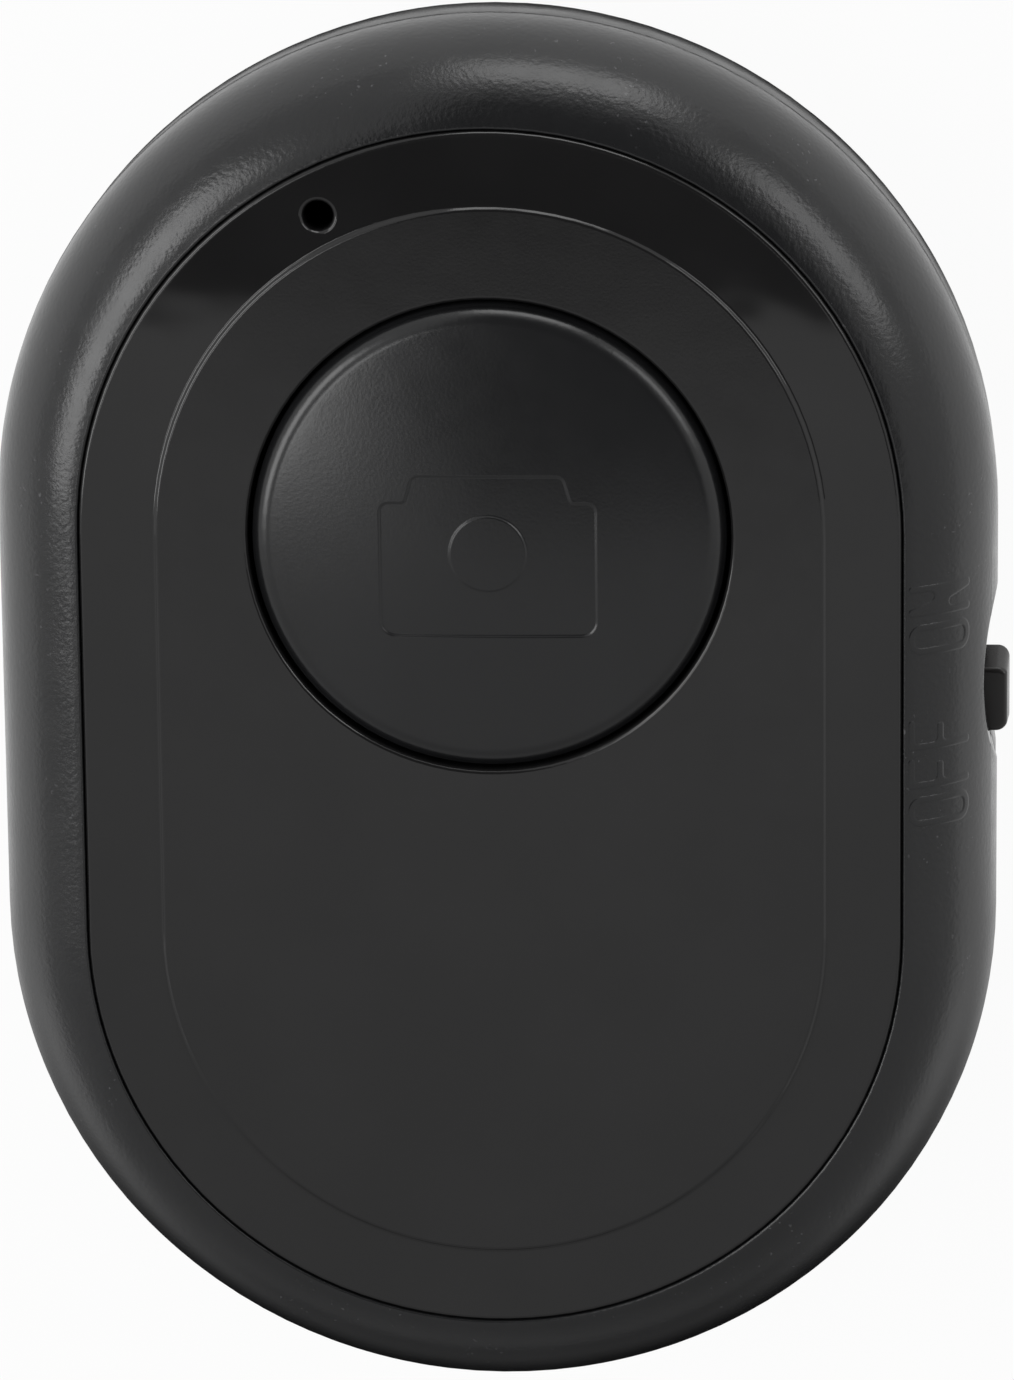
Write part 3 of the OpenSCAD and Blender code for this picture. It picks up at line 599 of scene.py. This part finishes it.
def sheet_metal(name, colour, rough, brushed=(1, 1, 1)):
    """Plated or rolled metal with faint tarnish and fine marks, drawn out along the axis with the small number."""
    finish = Finish(name)
    marks = finish.noise(14.0, 4.0, stretch=brushed)
    stain = finish.noise(0.7, 4.0)
    finish.set(
        metal=1.0,
        colour=finish.mix(finish.ramp(stain, 0, 1), colour, lighter(colour, 0.82)),
        rough=finish.ramp(stain, rough * 0.8, rough * 1.3),
    )
    return finish.bump((marks, 0.0008)).material


def hard_body(name, colour, rough, grain=16.0):
    """Matte moulded or fired body of a small part."""
    return moulded(name, colour, rough, grain, 0.0015)


def board_finish():
    """Green solder mask over glass cloth, with bare laminate at the cut sides."""
    finish = Finish("board_laminate")
    _, _, lie = finish.split(finish.add("ShaderNodeTexCoord").outputs["Normal"])
    flat = finish.ramp(finish.math("ABSOLUTE", lie), 0, 1, 0.5, 0.7)
    cloth = {"Vector": finish.place, "Scale": 1.6}
    weave = finish.add("ShaderNodeTexWave", cloth, wave_type="BANDS", bands_direction="DIAGONAL")
    mask = finish.noise(0.5, 3.0)
    finish.set(
        colour=finish.mix(flat, (0.19, 0.17, 0.075),
                          finish.mix(mask, (0.004, 0.056, 0.017), (0.006, 0.074, 0.023))),
        rough=finish.ramp(mask, 0.22, 0.36),
        coat=0.25,
    )
    return finish.bump((weave.outputs["Fac"], 0.003)).material


def clear_lens():
    """Slightly cloudy clear resin."""
    finish = Finish("light_lens")
    cloud = finish.noise(3.0)
    finish.set(through=0.8, rough=finish.ramp(cloud, 0.12, 0.3),
               colour=finish.mix(finish.ramp(cloud, 0, 1), (0.82, 0.9, 0.84), (0.7, 0.8, 0.74)), ior=1.52)
    return finish.bump((cloud, 0.004)).material


class REMOTE_OT_case(Operator):
    """Finish the case halves and the face panel"""

    bl_idname = "remote.case"
    bl_label = "Case"

    def execute(self, context):
        case = context.scene.remote_case
        housing = moulded("housing_plastic", case.case_colour, case.case_rough, 6.0, 0.011, dust=0.6)
        cover = moulded("cover_plastic", lighter(case.case_colour, 0.9), case.case_rough * 1.1, 6.5, 0.006)
        dress(housing, "front_housing")
        dress(cover, "back_cover")
        dress(panel_finish(case), "face_panel")
        soften(["face_panel", "front_housing"], 0.05 * MM, 4, 21)
        soften(["back_cover"], 0.04 * MM, 3, 30)
        return {"FINISHED"}


class REMOTE_OT_knob(Operator):
    """Make the knob of the power switch, with its sloped end"""

    bl_idname = "remote.knob"
    bl_label = "Switch knob"

    def execute(self, context):
        knob = context.scene.remote_knob
        near = 0.01 * MM
        points = points_of("switch_knob")
        tip = max(p.x for p in points)
        block = [p for p in points if p.x > tip - 2 * near]
        low, high = min(p.z for p in block), max(p.z for p in block)
        middle = sum(p.y for p in block) / len(block)
        bm = bmesh.new()
        bm.from_mesh(nodes["switch_knob"].data)
        bmesh.ops.remove_doubles(bm, verts=bm.verts, dist=TOUCH)
        bmesh.ops.dissolve_limit(bm, angle_limit=math.radians(0.5), verts=bm.verts, edges=bm.edges)
        foot = max(p.x for p in points if p.z < low - near)
        top = [v for v in bm.verts if v.co.x > foot - near and abs(v.co.z - high) < near]
        half = max(abs(v.co.y - middle) for v in top)
        for v in top:
            inwards = knob.slope if v.co.y > middle else knob.draft
            v.co.y = middle + (v.co.y - middle) * (1 - inwards / half)
            if v.co.x > foot + near:
                v.co.x -= knob.lean
        plastic = moulded("knob_plastic", knob.colour, 0.3, 10.0, 0.002)
        piece = new_piece("slide_knob", bm, plastic, "switch")
        round_edges(piece, knob.edge, 4, 40)
        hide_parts("switch_knob")
        return {"FINISHED"}


def camera_mark(cap):
    """Outline of the camera mark: a body with rounded corners and a hump with slanting sides."""
    half = cap.mark_half / MM
    low, high, hump = -0.907 * half, 0.362 * half, 0.616 * half
    right = [
        (half, low, 0.5), (half, high, 0.3), (0.77 * half, high, 0.16), (0.695 * half, hump, 0.3),
    ]
    left = [(-x, y, radius) for x, y, radius in reversed(right)]
    return rounded(right + left)


class CapProfile:
    """Half section of the cap: a tight rounding at the wall, a broad one, and a shallow dome of one arc."""

    def __init__(self, cap):
        self.lean = 0.0
        for _ in range(8):  # lean and reach depend on each other, and settle in a few rounds
            self.reach = cap_r - cap.lip_round * (1 - math.sin(cap.edge_turn)) - cap.edge_round * (
                math.sin(cap.edge_turn) - math.sin(self.lean))
            self.ball_r = (self.reach ** 2 + cap.dome_rise ** 2) / (2 * cap.dome_rise)
            self.lean = math.asin(self.reach / self.ball_r)
        self.wall_z = cap_top - cap.dome_rise - cap.lip_round * math.cos(cap.edge_turn) - cap.edge_round * (
            math.cos(self.lean) - math.cos(cap.edge_turn))
        self.rings = []
        self.arc(cap.lip_round, cap_r, self.wall_z, math.pi / 2, cap.edge_turn, 4)
        self.arc(cap.edge_round, *self.rings[-1], cap.edge_turn, self.lean, 14)

    def arc(self, radius, r, z, start, end, steps):
        """Adds rings on an arc that leaves (r, z) at one lean and ends at another."""
        for k in range(1, steps + 1):
            lean = start + (end - start) * k / steps
            self.rings.append((r + radius * (math.sin(lean) - math.sin(start)),
                               z + radius * (math.cos(lean) - math.cos(start))))

    def height(self, x, y):
        return cap_top - self.ball_r + math.sqrt(self.ball_r ** 2 - x ** 2 - y ** 2)


class REMOTE_OT_cap(Operator):
    """Make the domed button cap with the camera mark pressed into it"""

    bl_idname = "remote.cap"
    bl_label = "Button cap"

    def execute(self, context):
        cap = context.scene.remote_cap
        case = context.scene.remote_case
        profile = CapProfile(cap)
        bm = bmesh.new()
        bm.from_mesh(nodes["shutter_button"].data)
        bmesh.ops.remove_doubles(bm, verts=bm.verts, dist=0.1 * TOUCH)
        geom = bm.verts[:] + bm.edges[:] + bm.faces[:]
        cut = bmesh.ops.bisect_plane(
            bm, geom=geom, plane_co=(0, 0, profile.wall_z), plane_no=(0, 0, 1), clear_outer=True, dist=0.01 * TOUCH)
        wall = [v for v in cut["geom_cut"] if isinstance(v, bmesh.types.BMVert)]
        outermost = cap_r - 0.02 * MM
        ring = [v for v in wall if math.hypot(v.co.x, v.co.y - end_y) > outermost]
        ring.sort(key=lambda v: math.atan2(v.co.y - end_y, v.co.x))
        if len(ring) < 24:
            raise RuntimeError("the cap's wall wasn't found in the packed part")
        for r, z in profile.rings:
            above = []
            for v in ring:
                arm = Vector((v.co.x, v.co.y - end_y)).normalized() * r
                above.append(bm.verts.new((arm.x, arm.y + end_y, z)))
            band(bm, ring, above)
            ring = above

        def dome(x, y, lift):
            return Vector((x * MM, y * MM + end_y, profile.height(x * MM, y * MM) + lift * MM))

        depth, soft = cap.mark_depth / MM, cap.mark_soft / MM
        lens_y = -0.115 * cap.mark_half / MM
        body = Mark(camera_mark(cap), -depth, soft)
        lens = Mark(circle_outline(0, lens_y, cap.lens_r / MM), depth, soft)
        border = [Vector((v.co.x / MM, (v.co.y - end_y) / MM)) for v in ring]
        relief(bm, dome, [body, lens], border)
        bmesh.ops.remove_doubles(bm, verts=bm.verts, dist=2 * TOUCH)
        tone = lighter(case.case_colour, 0.95)
        plastic = moulded("button_plastic", tone, case.cap_rough, 9.0, 0.0028, swirl=0.05)
        piece = new_piece("button_cap", bm, plastic, "button", math.radians(50))
        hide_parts("shutter_button")
        return {"FINISHED"}


def letter_outlines(letter, width, height, stroke):
    """Corners of a letter's outline, and of its counter where it has one, from its lower left corner."""
    soft = 0.13  # radius of the corners
    if letter == "O":
        r = 0.45 * width
        outer = [(0, 0, r), (width, 0, r), (width, height, r), (0, height, r)]
        s, t = stroke, width - stroke
        r = max(r - stroke, soft)
        inner = [(s, s, r), (t, s, r), (t, height - s, r), (s, height - s, r)]
        return outer, inner
    if letter == "N":
        tall = 0.66 * height
        corners = [
            (0, 0), (stroke, 0), (stroke, tall), (width - stroke, 0), (width, 0), (width, height),
            (width - stroke, height), (width - stroke, height - tall), (stroke, height), (0, height),
        ]
    else:
        bar, arm = 0.46 * height, 0.85 * width
        corners = [
            (0, 0), (stroke, 0), (stroke, bar), (arm, bar), (arm, bar + stroke), (stroke, bar + stroke),
            (stroke, height - stroke), (width, height - stroke), (width, height), (0, height),
        ]
    return [(x, y, soft) for x, y in corners], None


class REMOTE_OT_lettering(Operator):
    """Raise ON and OFF on the rim beside the switch"""

    bl_idname = "remote.lettering"
    bl_label = "Lettering"

    def execute(self, context):
        letters = context.scene.remote_letters
        case = context.scene.remote_case
        rim_w = half_w - panel_hw - case.seam
        rise = face_z - part_z
        rim_r = (rim_w ** 2 + rise ** 2) / (2 * rim_w)
        rim_x = half_w - rim_r
        top_angle = math.asin((half_w - rim_w + letters.inset - rim_x) / rim_r)
        base_angle = top_angle + letters.height / rim_r
        sunk = 0.02  # depth of the letters' foot in the rim, in millimetres
        soft = 0.16  # width of their sloping walls
        material = moulded("letter_plastic", case.case_colour, case.case_rough, 7.0, 0.0034)
        size = [value / MM for value in (letters.width, letters.height, letters.stroke)]
        step = letters.width + letters.space

        def on_rim(left, x, y, lift):
            angle = base_angle - y * MM / rim_r
            r = rim_r + (lift - sunk) * MM
            return Vector((rim_x + r * math.sin(angle), left + x * MM, part_z + r * math.cos(angle)))

        bm = bmesh.new()
        for word, start in (("ON", letters.on_y), ("OFF", letters.off_y)):
            for index, letter in enumerate(word):
                outer, inner = letter_outlines(letter, *size)
                height = letters.rise / MM + sunk
                solid = [Mark(rounded(outer), height, soft)]
                holes = [Mark(rounded(inner), -height, soft)] if inner else []
                place = partial(on_rim, start + index * step)
                relief(bm, place, solid + holes, spacing=0.3, cut_outside=True, holes=holes)
        new_piece("switch_lettering", bm, material, "housing")
        return {"FINISHED"}


def pan_screw(bm, x, y, low, high, head_r, head_h, shank_r):
    """A pan-head screw that hangs head down, with a cross recess in its head."""
    sag = 0.22  # rise of the pan head, in millimetres
    flat = 0.94  # share of the head's radius inside its rounded edge

    def face(px, py, lift):
        dome = sag * (px * px + py * py) / (head_r / MM) ** 2
        return Vector((x + px * MM, y - py * MM, low + (dome - lift) * MM))

    arm, half = 0.62 * head_r / MM, 0.13 * head_r / MM
    corners = [
        (half, half), (half, arm), (-half, arm), (-half, half), (-arm, half), (-arm, -half),
        (-half, -half), (-half, -arm), (half, -arm), (half, -half), (arm, -half), (arm, half),
    ]
    cross = Mark(rounded([(cx, cy, 0.05) for cx, cy in corners], 0.04), -0.4, 0.06)
    border = [point for point, _ in circle_outline(0, 0, flat * head_r / MM, step=0.15)]
    relief(bm, face, [cross], border, spacing=0.35)
    profile = [(flat, sag * flat ** 2 * MM), (0.985, 0.3 * MM), (1.0, 0.4 * MM), (1.0, head_h)]
    rings = [(share * head_r, low + z) for share, z in profile]
    thread, pitch = 0.09 * MM, 0.45 * MM
    rings += [(shank_r, low + head_h)]
    z = low + head_h
    while z < high - 2 * pitch:
        rings += [(shank_r - thread, z + 0.35 * pitch), (shank_r - thread, z + 0.5 * pitch),
                  (shank_r, z + 0.85 * pitch), (shank_r, z + pitch)]
        z += pitch
    rings += [(0.75 * shank_r, high), (0.01 * MM, high)]
    lathe(bm, x, y, rings, 40)


def lathe(bm, x, y, rings, count):
    """Turns a list of (radius, height) about an upright axis."""
    last = None
    for r, z in rings:
        loop = [
            bm.verts.new((x + r * math.cos(2 * math.pi * k / count), y + r * math.sin(2 * math.pi * k / count), z))
            for k in range(count)
        ]
        if last:
            band(bm, last, loop)
        last = loop


class REMOTE_OT_screws(Operator):
    """Make the three pan-head screws that hold the board"""

    bl_idname = "remote.screws"
    bl_label = "Screws"

    def execute(self, context):
        bm = bmesh.new()
        low, high = bottom_of("board_screws").z, top_of("board_screws").z
        head_h = bottom_of("circuit_board").z - low
        tips = [p for p in points_of("board_screws") if abs(p.z - high) < TOUCH]
        for x, y, r in screw_centres():
            reaches = [math.hypot(tip.x - x, tip.y - y) for tip in tips]
            shank = min(reach for reach in reaches if reach < r)
            pan_screw(bm, x, y, low, high, r, head_h, max(shank, 0.5 * MM))
        steel = sheet_metal("screw_steel", (0.62, 0.62, 0.64), 0.25)
        piece = new_piece("pan_screws", bm, steel, "housing", math.radians(32))
        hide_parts("board_screws")
        return {"FINISHED"}


def spans(points):
    """Lowest x and y, and highest x and y, of some points."""
    xs, ys = [p.x for p in points], [p.y for p in points]
    return min(xs), min(ys), max(xs), max(ys)


def screw_centres():
    """Centre and head radius of each screw, from the rims of the heads."""
    low = bottom_of("board_screws").z
    groups = []
    for point in points_of("board_screws"):
        if abs(point.z - low) > TOUCH:
            continue
        for group in groups:
            if (group[0] - point).length < 4 * MM:
                group.append(point)
                break
        else:
            groups.append([point])
    found = []
    for group in groups:
        left, front, right, back = spans(group)
        found.append(((left + right) / 2, (front + back) / 2, (right - left) / 2))
    return found


def strip(bm, points, width, base, top, closed=False):
    """A flat strip along a line of points in millimetres, from its base to its top."""
    path = [Vector(point) for point in points]
    count = len(path)
    rows = []
    for k, here in enumerate(path):
        into = here - path[k - 1] if k or closed else path[1] - here
        out = path[(k + 1) % count] - here if k + 1 < count or closed else into
        into, out = into.normalized(), out.normalized()
        turn = (into + out).normalized()
        side = Vector((-turn.y, turn.x)) * width / 2 / MM / turn.dot(into)
        left, right = (here + side) * MM, (here - side) * MM
        rows.append([bm.verts.new((*p, z)) for p, z in ((left, base), (right, base), (right, top), (left, top))])
    for a, b in zip(rows, rows[1:] + rows[:1] if closed else rows[1:]):
        band(bm, a, b)
    if not closed:
        bm.faces.new(rows[0])
        bm.faces.new(rows[-1])


def flat_ring(bm, x, y, inner, outer, base, top):
    """A flat closed ring."""
    lathe(bm, x, y, [(outer, base), (outer, top), (inner, top), (inner, base), (outer, base)], 32)


def closed_piece(name, bm, material):
    """Joins the faces of flat parts on the board, then makes their piece."""
    bmesh.ops.remove_doubles(bm, verts=bm.verts, dist=0.1 * TOUCH)
    return new_piece(name, bm, material, "housing")


def corners_round(name, gap):
    """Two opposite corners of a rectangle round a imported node, in millimetres."""
    left, front, right, back = spans([p / MM for p in points_of(name)])
    return (left - gap, front - gap), (right + gap, back + gap)


SUNK = 0.02 * MM  # depth of what lies on the board in the board's own faces
PRINT_RISE = 0.01 * MM


def board_faces():
    """The board's lower and upper face, each with its height, the way out of it and its lines of tracks."""
    return (bottom_of("circuit_board").z, -1, CELL_SIDE), (top_of("circuit_board").z, 1, BUTTON_SIDE)


def make_tracks(board):
    """Makes the copper tracks under their green mask."""
    bm = bmesh.new()
    for face, out, lines in board_faces():
        for line in lines:
            strip(bm, line, board.track, face - out * SUNK, face + out * board.copper)
    masked = moulded("masked_copper", (0.013, 0.15, 0.045), 0.26, 3.0, 0.001)
    closed_piece("board_tracks", bm, masked)


def make_pads(board):
    """Makes the vias, and the tinned pads round the screws and under the feet of the clip."""
    via_rise = board.copper + 0.01 * MM
    clip_foot = 1.4  # length of a soldered foot, in millimetres
    grow = board.pad_grow / MM
    bm = bmesh.new()
    for face, out, lines in board_faces():
        foot, top = face - out * SUNK, face + out * via_rise
        for line in lines:
            for x, y in (line[0], line[-1]):
                flat_ring(bm, x * MM, y * MM, 0.4 * board.via_r, board.via_r, foot, top)
    under = bottom_of("circuit_board").z
    foot, top = under + SUNK, under - board.copper
    for x, y, r in screw_centres():
        flat_ring(bm, x, y, 0.7 * r, r + board.pad_grow, foot, top)
    low, high = corners_round("battery_clip", grow)
    middle = (low[1] + high[1]) / 2
    for outer in (low[0], high[0]):
        inner = outer - math.copysign(clip_foot + 2 * grow, outer)
        strip(bm, [(inner, middle), (outer, middle)], (high[1] - low[1]) * MM, foot, top)
    closed_piece("board_pads", bm, sheet_metal("solder_tin", (0.74, 0.75, 0.76), 0.3))


def make_print(board):
    """Prints a frame round the larger parts, and a plus sign beside the clip."""
    upper, under = top_of("circuit_board").z, bottom_of("circuit_board").z
    bm = bmesh.new()
    for name in ("radio_chip", "memory_chip", "crystal", "push_switch_base"):
        (a, b), (c, d) = corners_round(name, 0.3)
        outline = [(a, b), (c, b), (c, d), (a, d)]
        strip(bm, outline, board.print_width, upper - SUNK, upper + PRINT_RISE, closed=True)
    _, corner = corners_round("battery_clip", board.pad_grow / MM)
    arm, thick = 0.9, 2 * board.print_width
    x, y = corner[0] + arm, corner[1] + 1.2
    near = board.print_width / MM
    for line in ([(x - arm, y), (x + arm, y)], [(x, y - arm), (x, y - near)], [(x, y + near), (x, y + arm)]):
        strip(bm, line, thick, under + SUNK, under - PRINT_RISE)
    closed_piece("board_print", bm, hard_body("print_ink", (0.70, 0.70, 0.67), 0.55))


class REMOTE_OT_board(Operator):
    """Finish the circuit board and the parts on it"""

    bl_idname = "remote.board"
    bl_label = "Board and parts"

    def execute(self, context):
        dress(board_finish(), "circuit_board")
        dress(sheet_metal("copper_track", (0.80, 0.42, 0.22), 0.3), "aerial_track")
        dress(hard_body("chip_epoxy", (0.017, 0.017, 0.018), 0.55), "radio_chip", "memory_chip")
        dress(sheet_metal("crystal_steel", (0.72, 0.72, 0.73), 0.22, (1, 0.1, 1)), "crystal")
        dress(hard_body("capacitor_ceramic", (0.36, 0.24, 0.13), 0.45, 20.0), "chip_capacitors")
        dress(hard_body("resistor_film", (0.014, 0.014, 0.016), 0.35, 20.0), "chip_resistors")
        dress(sheet_metal("tin", (0.70, 0.71, 0.72), 0.32), "chip_ends", "memory_chip_leads",
              "push_switch_legs", "slide_switch_legs")
        dress(hard_body("switch_plastic", (0.02, 0.02, 0.022), 0.4), "push_switch_base",
              "push_switch_plunger", "slide_switch_base", "slide_switch_slider")
        dress(sheet_metal("switch_steel", (0.66, 0.66, 0.67), 0.26, (1, 0.12, 1)), "push_switch_cover",
              "slide_switch_shell")
        dress(sheet_metal("snap_bronze", (0.74, 0.62, 0.42), 0.2), "push_switch_dome")
        dress(hard_body("light_base", (0.72, 0.70, 0.62), 0.5), "status_light_base")
        dress(clear_lens(), "status_light_lens")
        soften(["radio_chip", "memory_chip", "crystal", "push_switch_cover", "slide_switch_shell"], 0.06 * MM)
        soften(["chip_capacitors", "chip_resistors", "chip_ends"], 0.02 * MM, 2)

        board = context.scene.remote_board
        make_tracks(board)
        make_pads(board)
        make_print(board)
        return {"FINISHED"}


class REMOTE_OT_cell(Operator):
    """Finish the coin cell and its contacts"""

    bl_idname = "remote.cell"
    bl_label = "Coin cell"

    def execute(self, context):
        dress(sheet_metal("cell_steel", (0.70, 0.70, 0.71), 0.24), "coin_cell_can")
        dress(sheet_metal("cell_cap", (0.62, 0.62, 0.63), 0.34), "coin_cell_cap")
        dress(hard_body("cell_seal", (0.05, 0.05, 0.052), 0.5), "coin_cell_seal")
        dress(sheet_metal("clip_steel", (0.70, 0.67, 0.60), 0.25, (0.1, 1, 1)), "battery_clip")
        dress(sheet_metal("contact_gold", (0.86, 0.62, 0.26), 0.2), "negative_contact")
        soften(["battery_clip", "negative_contact"], 0.04 * MM)
        soften(["coin_cell_can"], 0.22 * MM, 4, 60)
        return {"FINISHED"}


def softbox(name, compass, lean, width, height, brightness, reach):
    """A soft lamp that shows in gloss but not to the camera."""
    compass, lean = math.radians(compass), math.radians(lean)
    away = Vector((math.sin(lean) * math.cos(compass), math.sin(lean) * math.sin(compass), math.cos(lean)))
    lamp = bpy.data.lights.new(name, "AREA")
    lamp.shape = "RECTANGLE"
    lamp.size, lamp.size_y = width, height
    lamp.energy = math.pi * width * height * brightness
    box = add_object(name, lamp)
    box.location = Vector((0, 0, face_z)) + away * reach
    box.rotation_euler = (-away).to_track_quat("-Z", "Y").to_euler()
    box.visible_camera = False


def floor_finish(white):
    """Pale sweep that shows nearly white and keeps a soft shadow. In gloss it glows with painted shade, darker
    close to the remote.
    """
    material = bpy.data.materials.new("pale_floor")
    material.use_nodes = True
    graph = Graph(material.node_tree)
    place = graph.add("ShaderNodeTexCoord").outputs["Object"]
    x, y, _ = graph.split(place)
    # the side a point of the floor lies on: 1 is the front, away from the button, and -1 the button end
    to_front = graph.math("DIVIDE", graph.math("SUBTRACT", 0.0, y), graph.math("MAXIMUM", graph.hypot(x, y), MM))
    from_case = graph.pill_distance(place, end_y)
    # painted shade, seen only in gloss: the floor is dark close to the front side, as in the remote's shadow,
    # darker towards the front overall, and in a thin line round the button end
    close = graph.product(graph.ramp(to_front, 1, 0.95, -1, -0.2), graph.ramp(to_front, 1, 0.03, 0.2, 0.95))
    clear = graph.ramp(from_case, close, 1, half_w + 6 * MM, half_w + 30 * MM)
    # painted contact shadow, seen only in gloss: dark within about 1.5 mm of the case, only round the button end
    painted_contact_shadow = graph.math("MAXIMUM", graph.ramp(from_case, 0.02, 1, half_w + 1.0 * MM, half_w + 1.5 * MM),
                       graph.ramp(to_front, 0, 1, -0.75, -0.35))
    # the floor's level in gloss, with all its painted shade
    gloss_with_painted_shade = graph.product(clear, painted_contact_shadow, graph.ramp(to_front, 1, 0.15, 0.5, 1))
    path = graph.add("ShaderNodeLightPath")
    seen = path.outputs["Is Camera Ray"]
    gloss = graph.math("MAXIMUM", path.outputs["Is Glossy Ray"], path.outputs["Is Transmission Ray"])
    matte = graph.add("ShaderNodeBsdfDiffuse", {"Color": (0.82, 0.82, 0.82, 1)})
    # the camera sees a plain white glow; gloss sees the glow with its painted shade
    level = graph.math("ADD", seen, graph.product(gloss, gloss_with_painted_shade))
    glow = graph.add("ShaderNodeEmission", {"Strength": level})
    part = graph.math("ADD", graph.product(seen, white), gloss)
    mix = graph.add("ShaderNodeMixShader", {0: part, 1: matte.outputs[0], 2: glow.outputs[0]})
    graph.add("ShaderNodeOutputMaterial", {0: mix.outputs[0]})
    return material


def room_light(stage):
    """Soft light from the sides, less from the front, and a dark part overhead."""
    world = bpy.data.worlds.new("room")
    world.use_nodes = True
    bpy.context.scene.world = world
    graph = Graph(world.node_tree)
    x, y, z = graph.split(graph.add("ShaderNodeTexCoord").outputs["Generated"])
    up = graph.math("MAXIMUM", z, 0.02)
    front = graph.math("SUBTRACT", 0.0, y)
    to_button = graph.math("DIVIDE", y, up)
    to_right = graph.math("DIVIDE", x, up)
    # the light falls off towards the front in two steps, and is a little stronger low down
    level = graph.math("SUBTRACT", graph.ramp(front, stage.room, stage.room_near, 0.22, 0.36),
                       graph.ramp(front, 0, stage.room_near - stage.room_front, 0.45, 0.95))
    level = graph.product(level, graph.ramp(z, 1.2, 1, 0.05, 0.55))
    # the overhead shade has sharp front and left edges, the left one bent, and soft back and right edges
    from_left = graph.math("ADD", to_right, graph.ramp(to_button, 0.109, 0.26, -0.2, -0.05))
    over_head = graph.product(
        graph.ramp(to_button, 0, 1, -0.231, -0.2265), graph.ramp(to_button, 1, 0, 1.2, 1.8),
        graph.ramp(from_left, 0, 1, -0.002, 0.002), graph.ramp(to_right, 1, 0, 0.5, 1.0),
    )
    keep = graph.math("SUBTRACT", 1.0, over_head)
    level = graph.math("ADD", graph.product(level, keep), graph.product(over_head, stage.shade))
    background = graph.add("ShaderNodeBackground", {"Strength": level})
    graph.add("ShaderNodeOutputWorld", {0: background.outputs[0]})


def place_camera(stage):
    """Aims the camera at its target, leaned and turned as set."""
    back = Vector((
        math.sin(stage.swing),
        math.sin(stage.tilt) * math.cos(stage.swing),
        math.cos(stage.tilt) * math.cos(stage.swing),
    ))
    right = Vector((0, 1, 0)).cross(back).normalized()
    up = back.cross(right)
    turn = Matrix.Rotation(stage.roll, 3, back)
    right, up = turn @ right, turn @ up
    data = bpy.data.cameras.new("camera")
    data.sensor_width = 36
    data.lens = stage.lens
    data.clip_start, data.clip_end = 0.01, 10
    camera = add_object("camera", data)
    camera.matrix_world = Matrix.Translation(Vector(stage.target) + back * stage.distance) @ Matrix(
        (right, up, back)).transposed().to_4x4()
    bpy.context.scene.camera = camera


def lay_floor(stage):
    """Lays the floor just under the remote."""
    bm = bmesh.new()
    bmesh.ops.create_grid(bm, x_segments=8, y_segments=8, size=stage.floor_size / 2)
    floor = add_object("floor", as_mesh("floor", bm, floor_finish(stage.floor_white)))
    floor.location.z = cad_box[0].z - 0.02 * MM


class REMOTE_OT_stage(Operator):
    """Set the camera, the pale floor and the soft lamps"""

    bl_idname = "remote.stage"
    bl_label = "Stage"

    def execute(self, context):
        stage = context.scene.remote_stage
        context.scene.view_settings.view_transform = "Standard"
        place_camera(stage)
        lay_floor(stage)
        room_light(stage)
        for name, lamp in LAMPS.items():
            softbox(name, *lamp, stage.lamp_reach)
        return {"FINISHED"}


class REMOTE_PT_panel(Panel):
    """Steps that finish the remote, in order"""

    bl_idname = "REMOTE_PT_panel"
    bl_label = "Remote"
    bl_space_type = "VIEW_3D"
    bl_region_type = "UI"
    bl_category = "Remote"

    def draw(self, context):
        for step in STEPS:
            self.layout.operator(step.bl_idname)


GROUPS = {
    "remote_case": CaseSettings,
    "remote_knob": KnobSettings,
    "remote_cap": CapSettings,
    "remote_letters": LetterSettings,
    "remote_board": BoardSettings,
    "remote_stage": StageSettings,
}
STEPS = (REMOTE_OT_stage, REMOTE_OT_case, REMOTE_OT_knob, REMOTE_OT_cap, REMOTE_OT_lettering,
         REMOTE_OT_board, REMOTE_OT_screws, REMOTE_OT_cell)
CLASSES = (*GROUPS.values(), *STEPS, REMOTE_PT_panel)


def register():
    for made in CLASSES:
        bpy.utils.register_class(made)
    for name, group in GROUPS.items():
        setattr(bpy.types.Scene, name, PointerProperty(type=group))


def unregister():
    for name in GROUPS:
        delattr(bpy.types.Scene, name)
    for made in reversed(CLASSES):
        bpy.utils.unregister_class(made)


def main():
    register()
    bpy.ops.remote.stage()
    bpy.ops.remote.case()
    bpy.ops.remote.knob()
    bpy.ops.remote.cap()
    bpy.ops.remote.lettering()
    bpy.ops.remote.board()
    bpy.ops.remote.screws()
    bpy.ops.remote.cell()


if __name__ == "__main__":
    main()
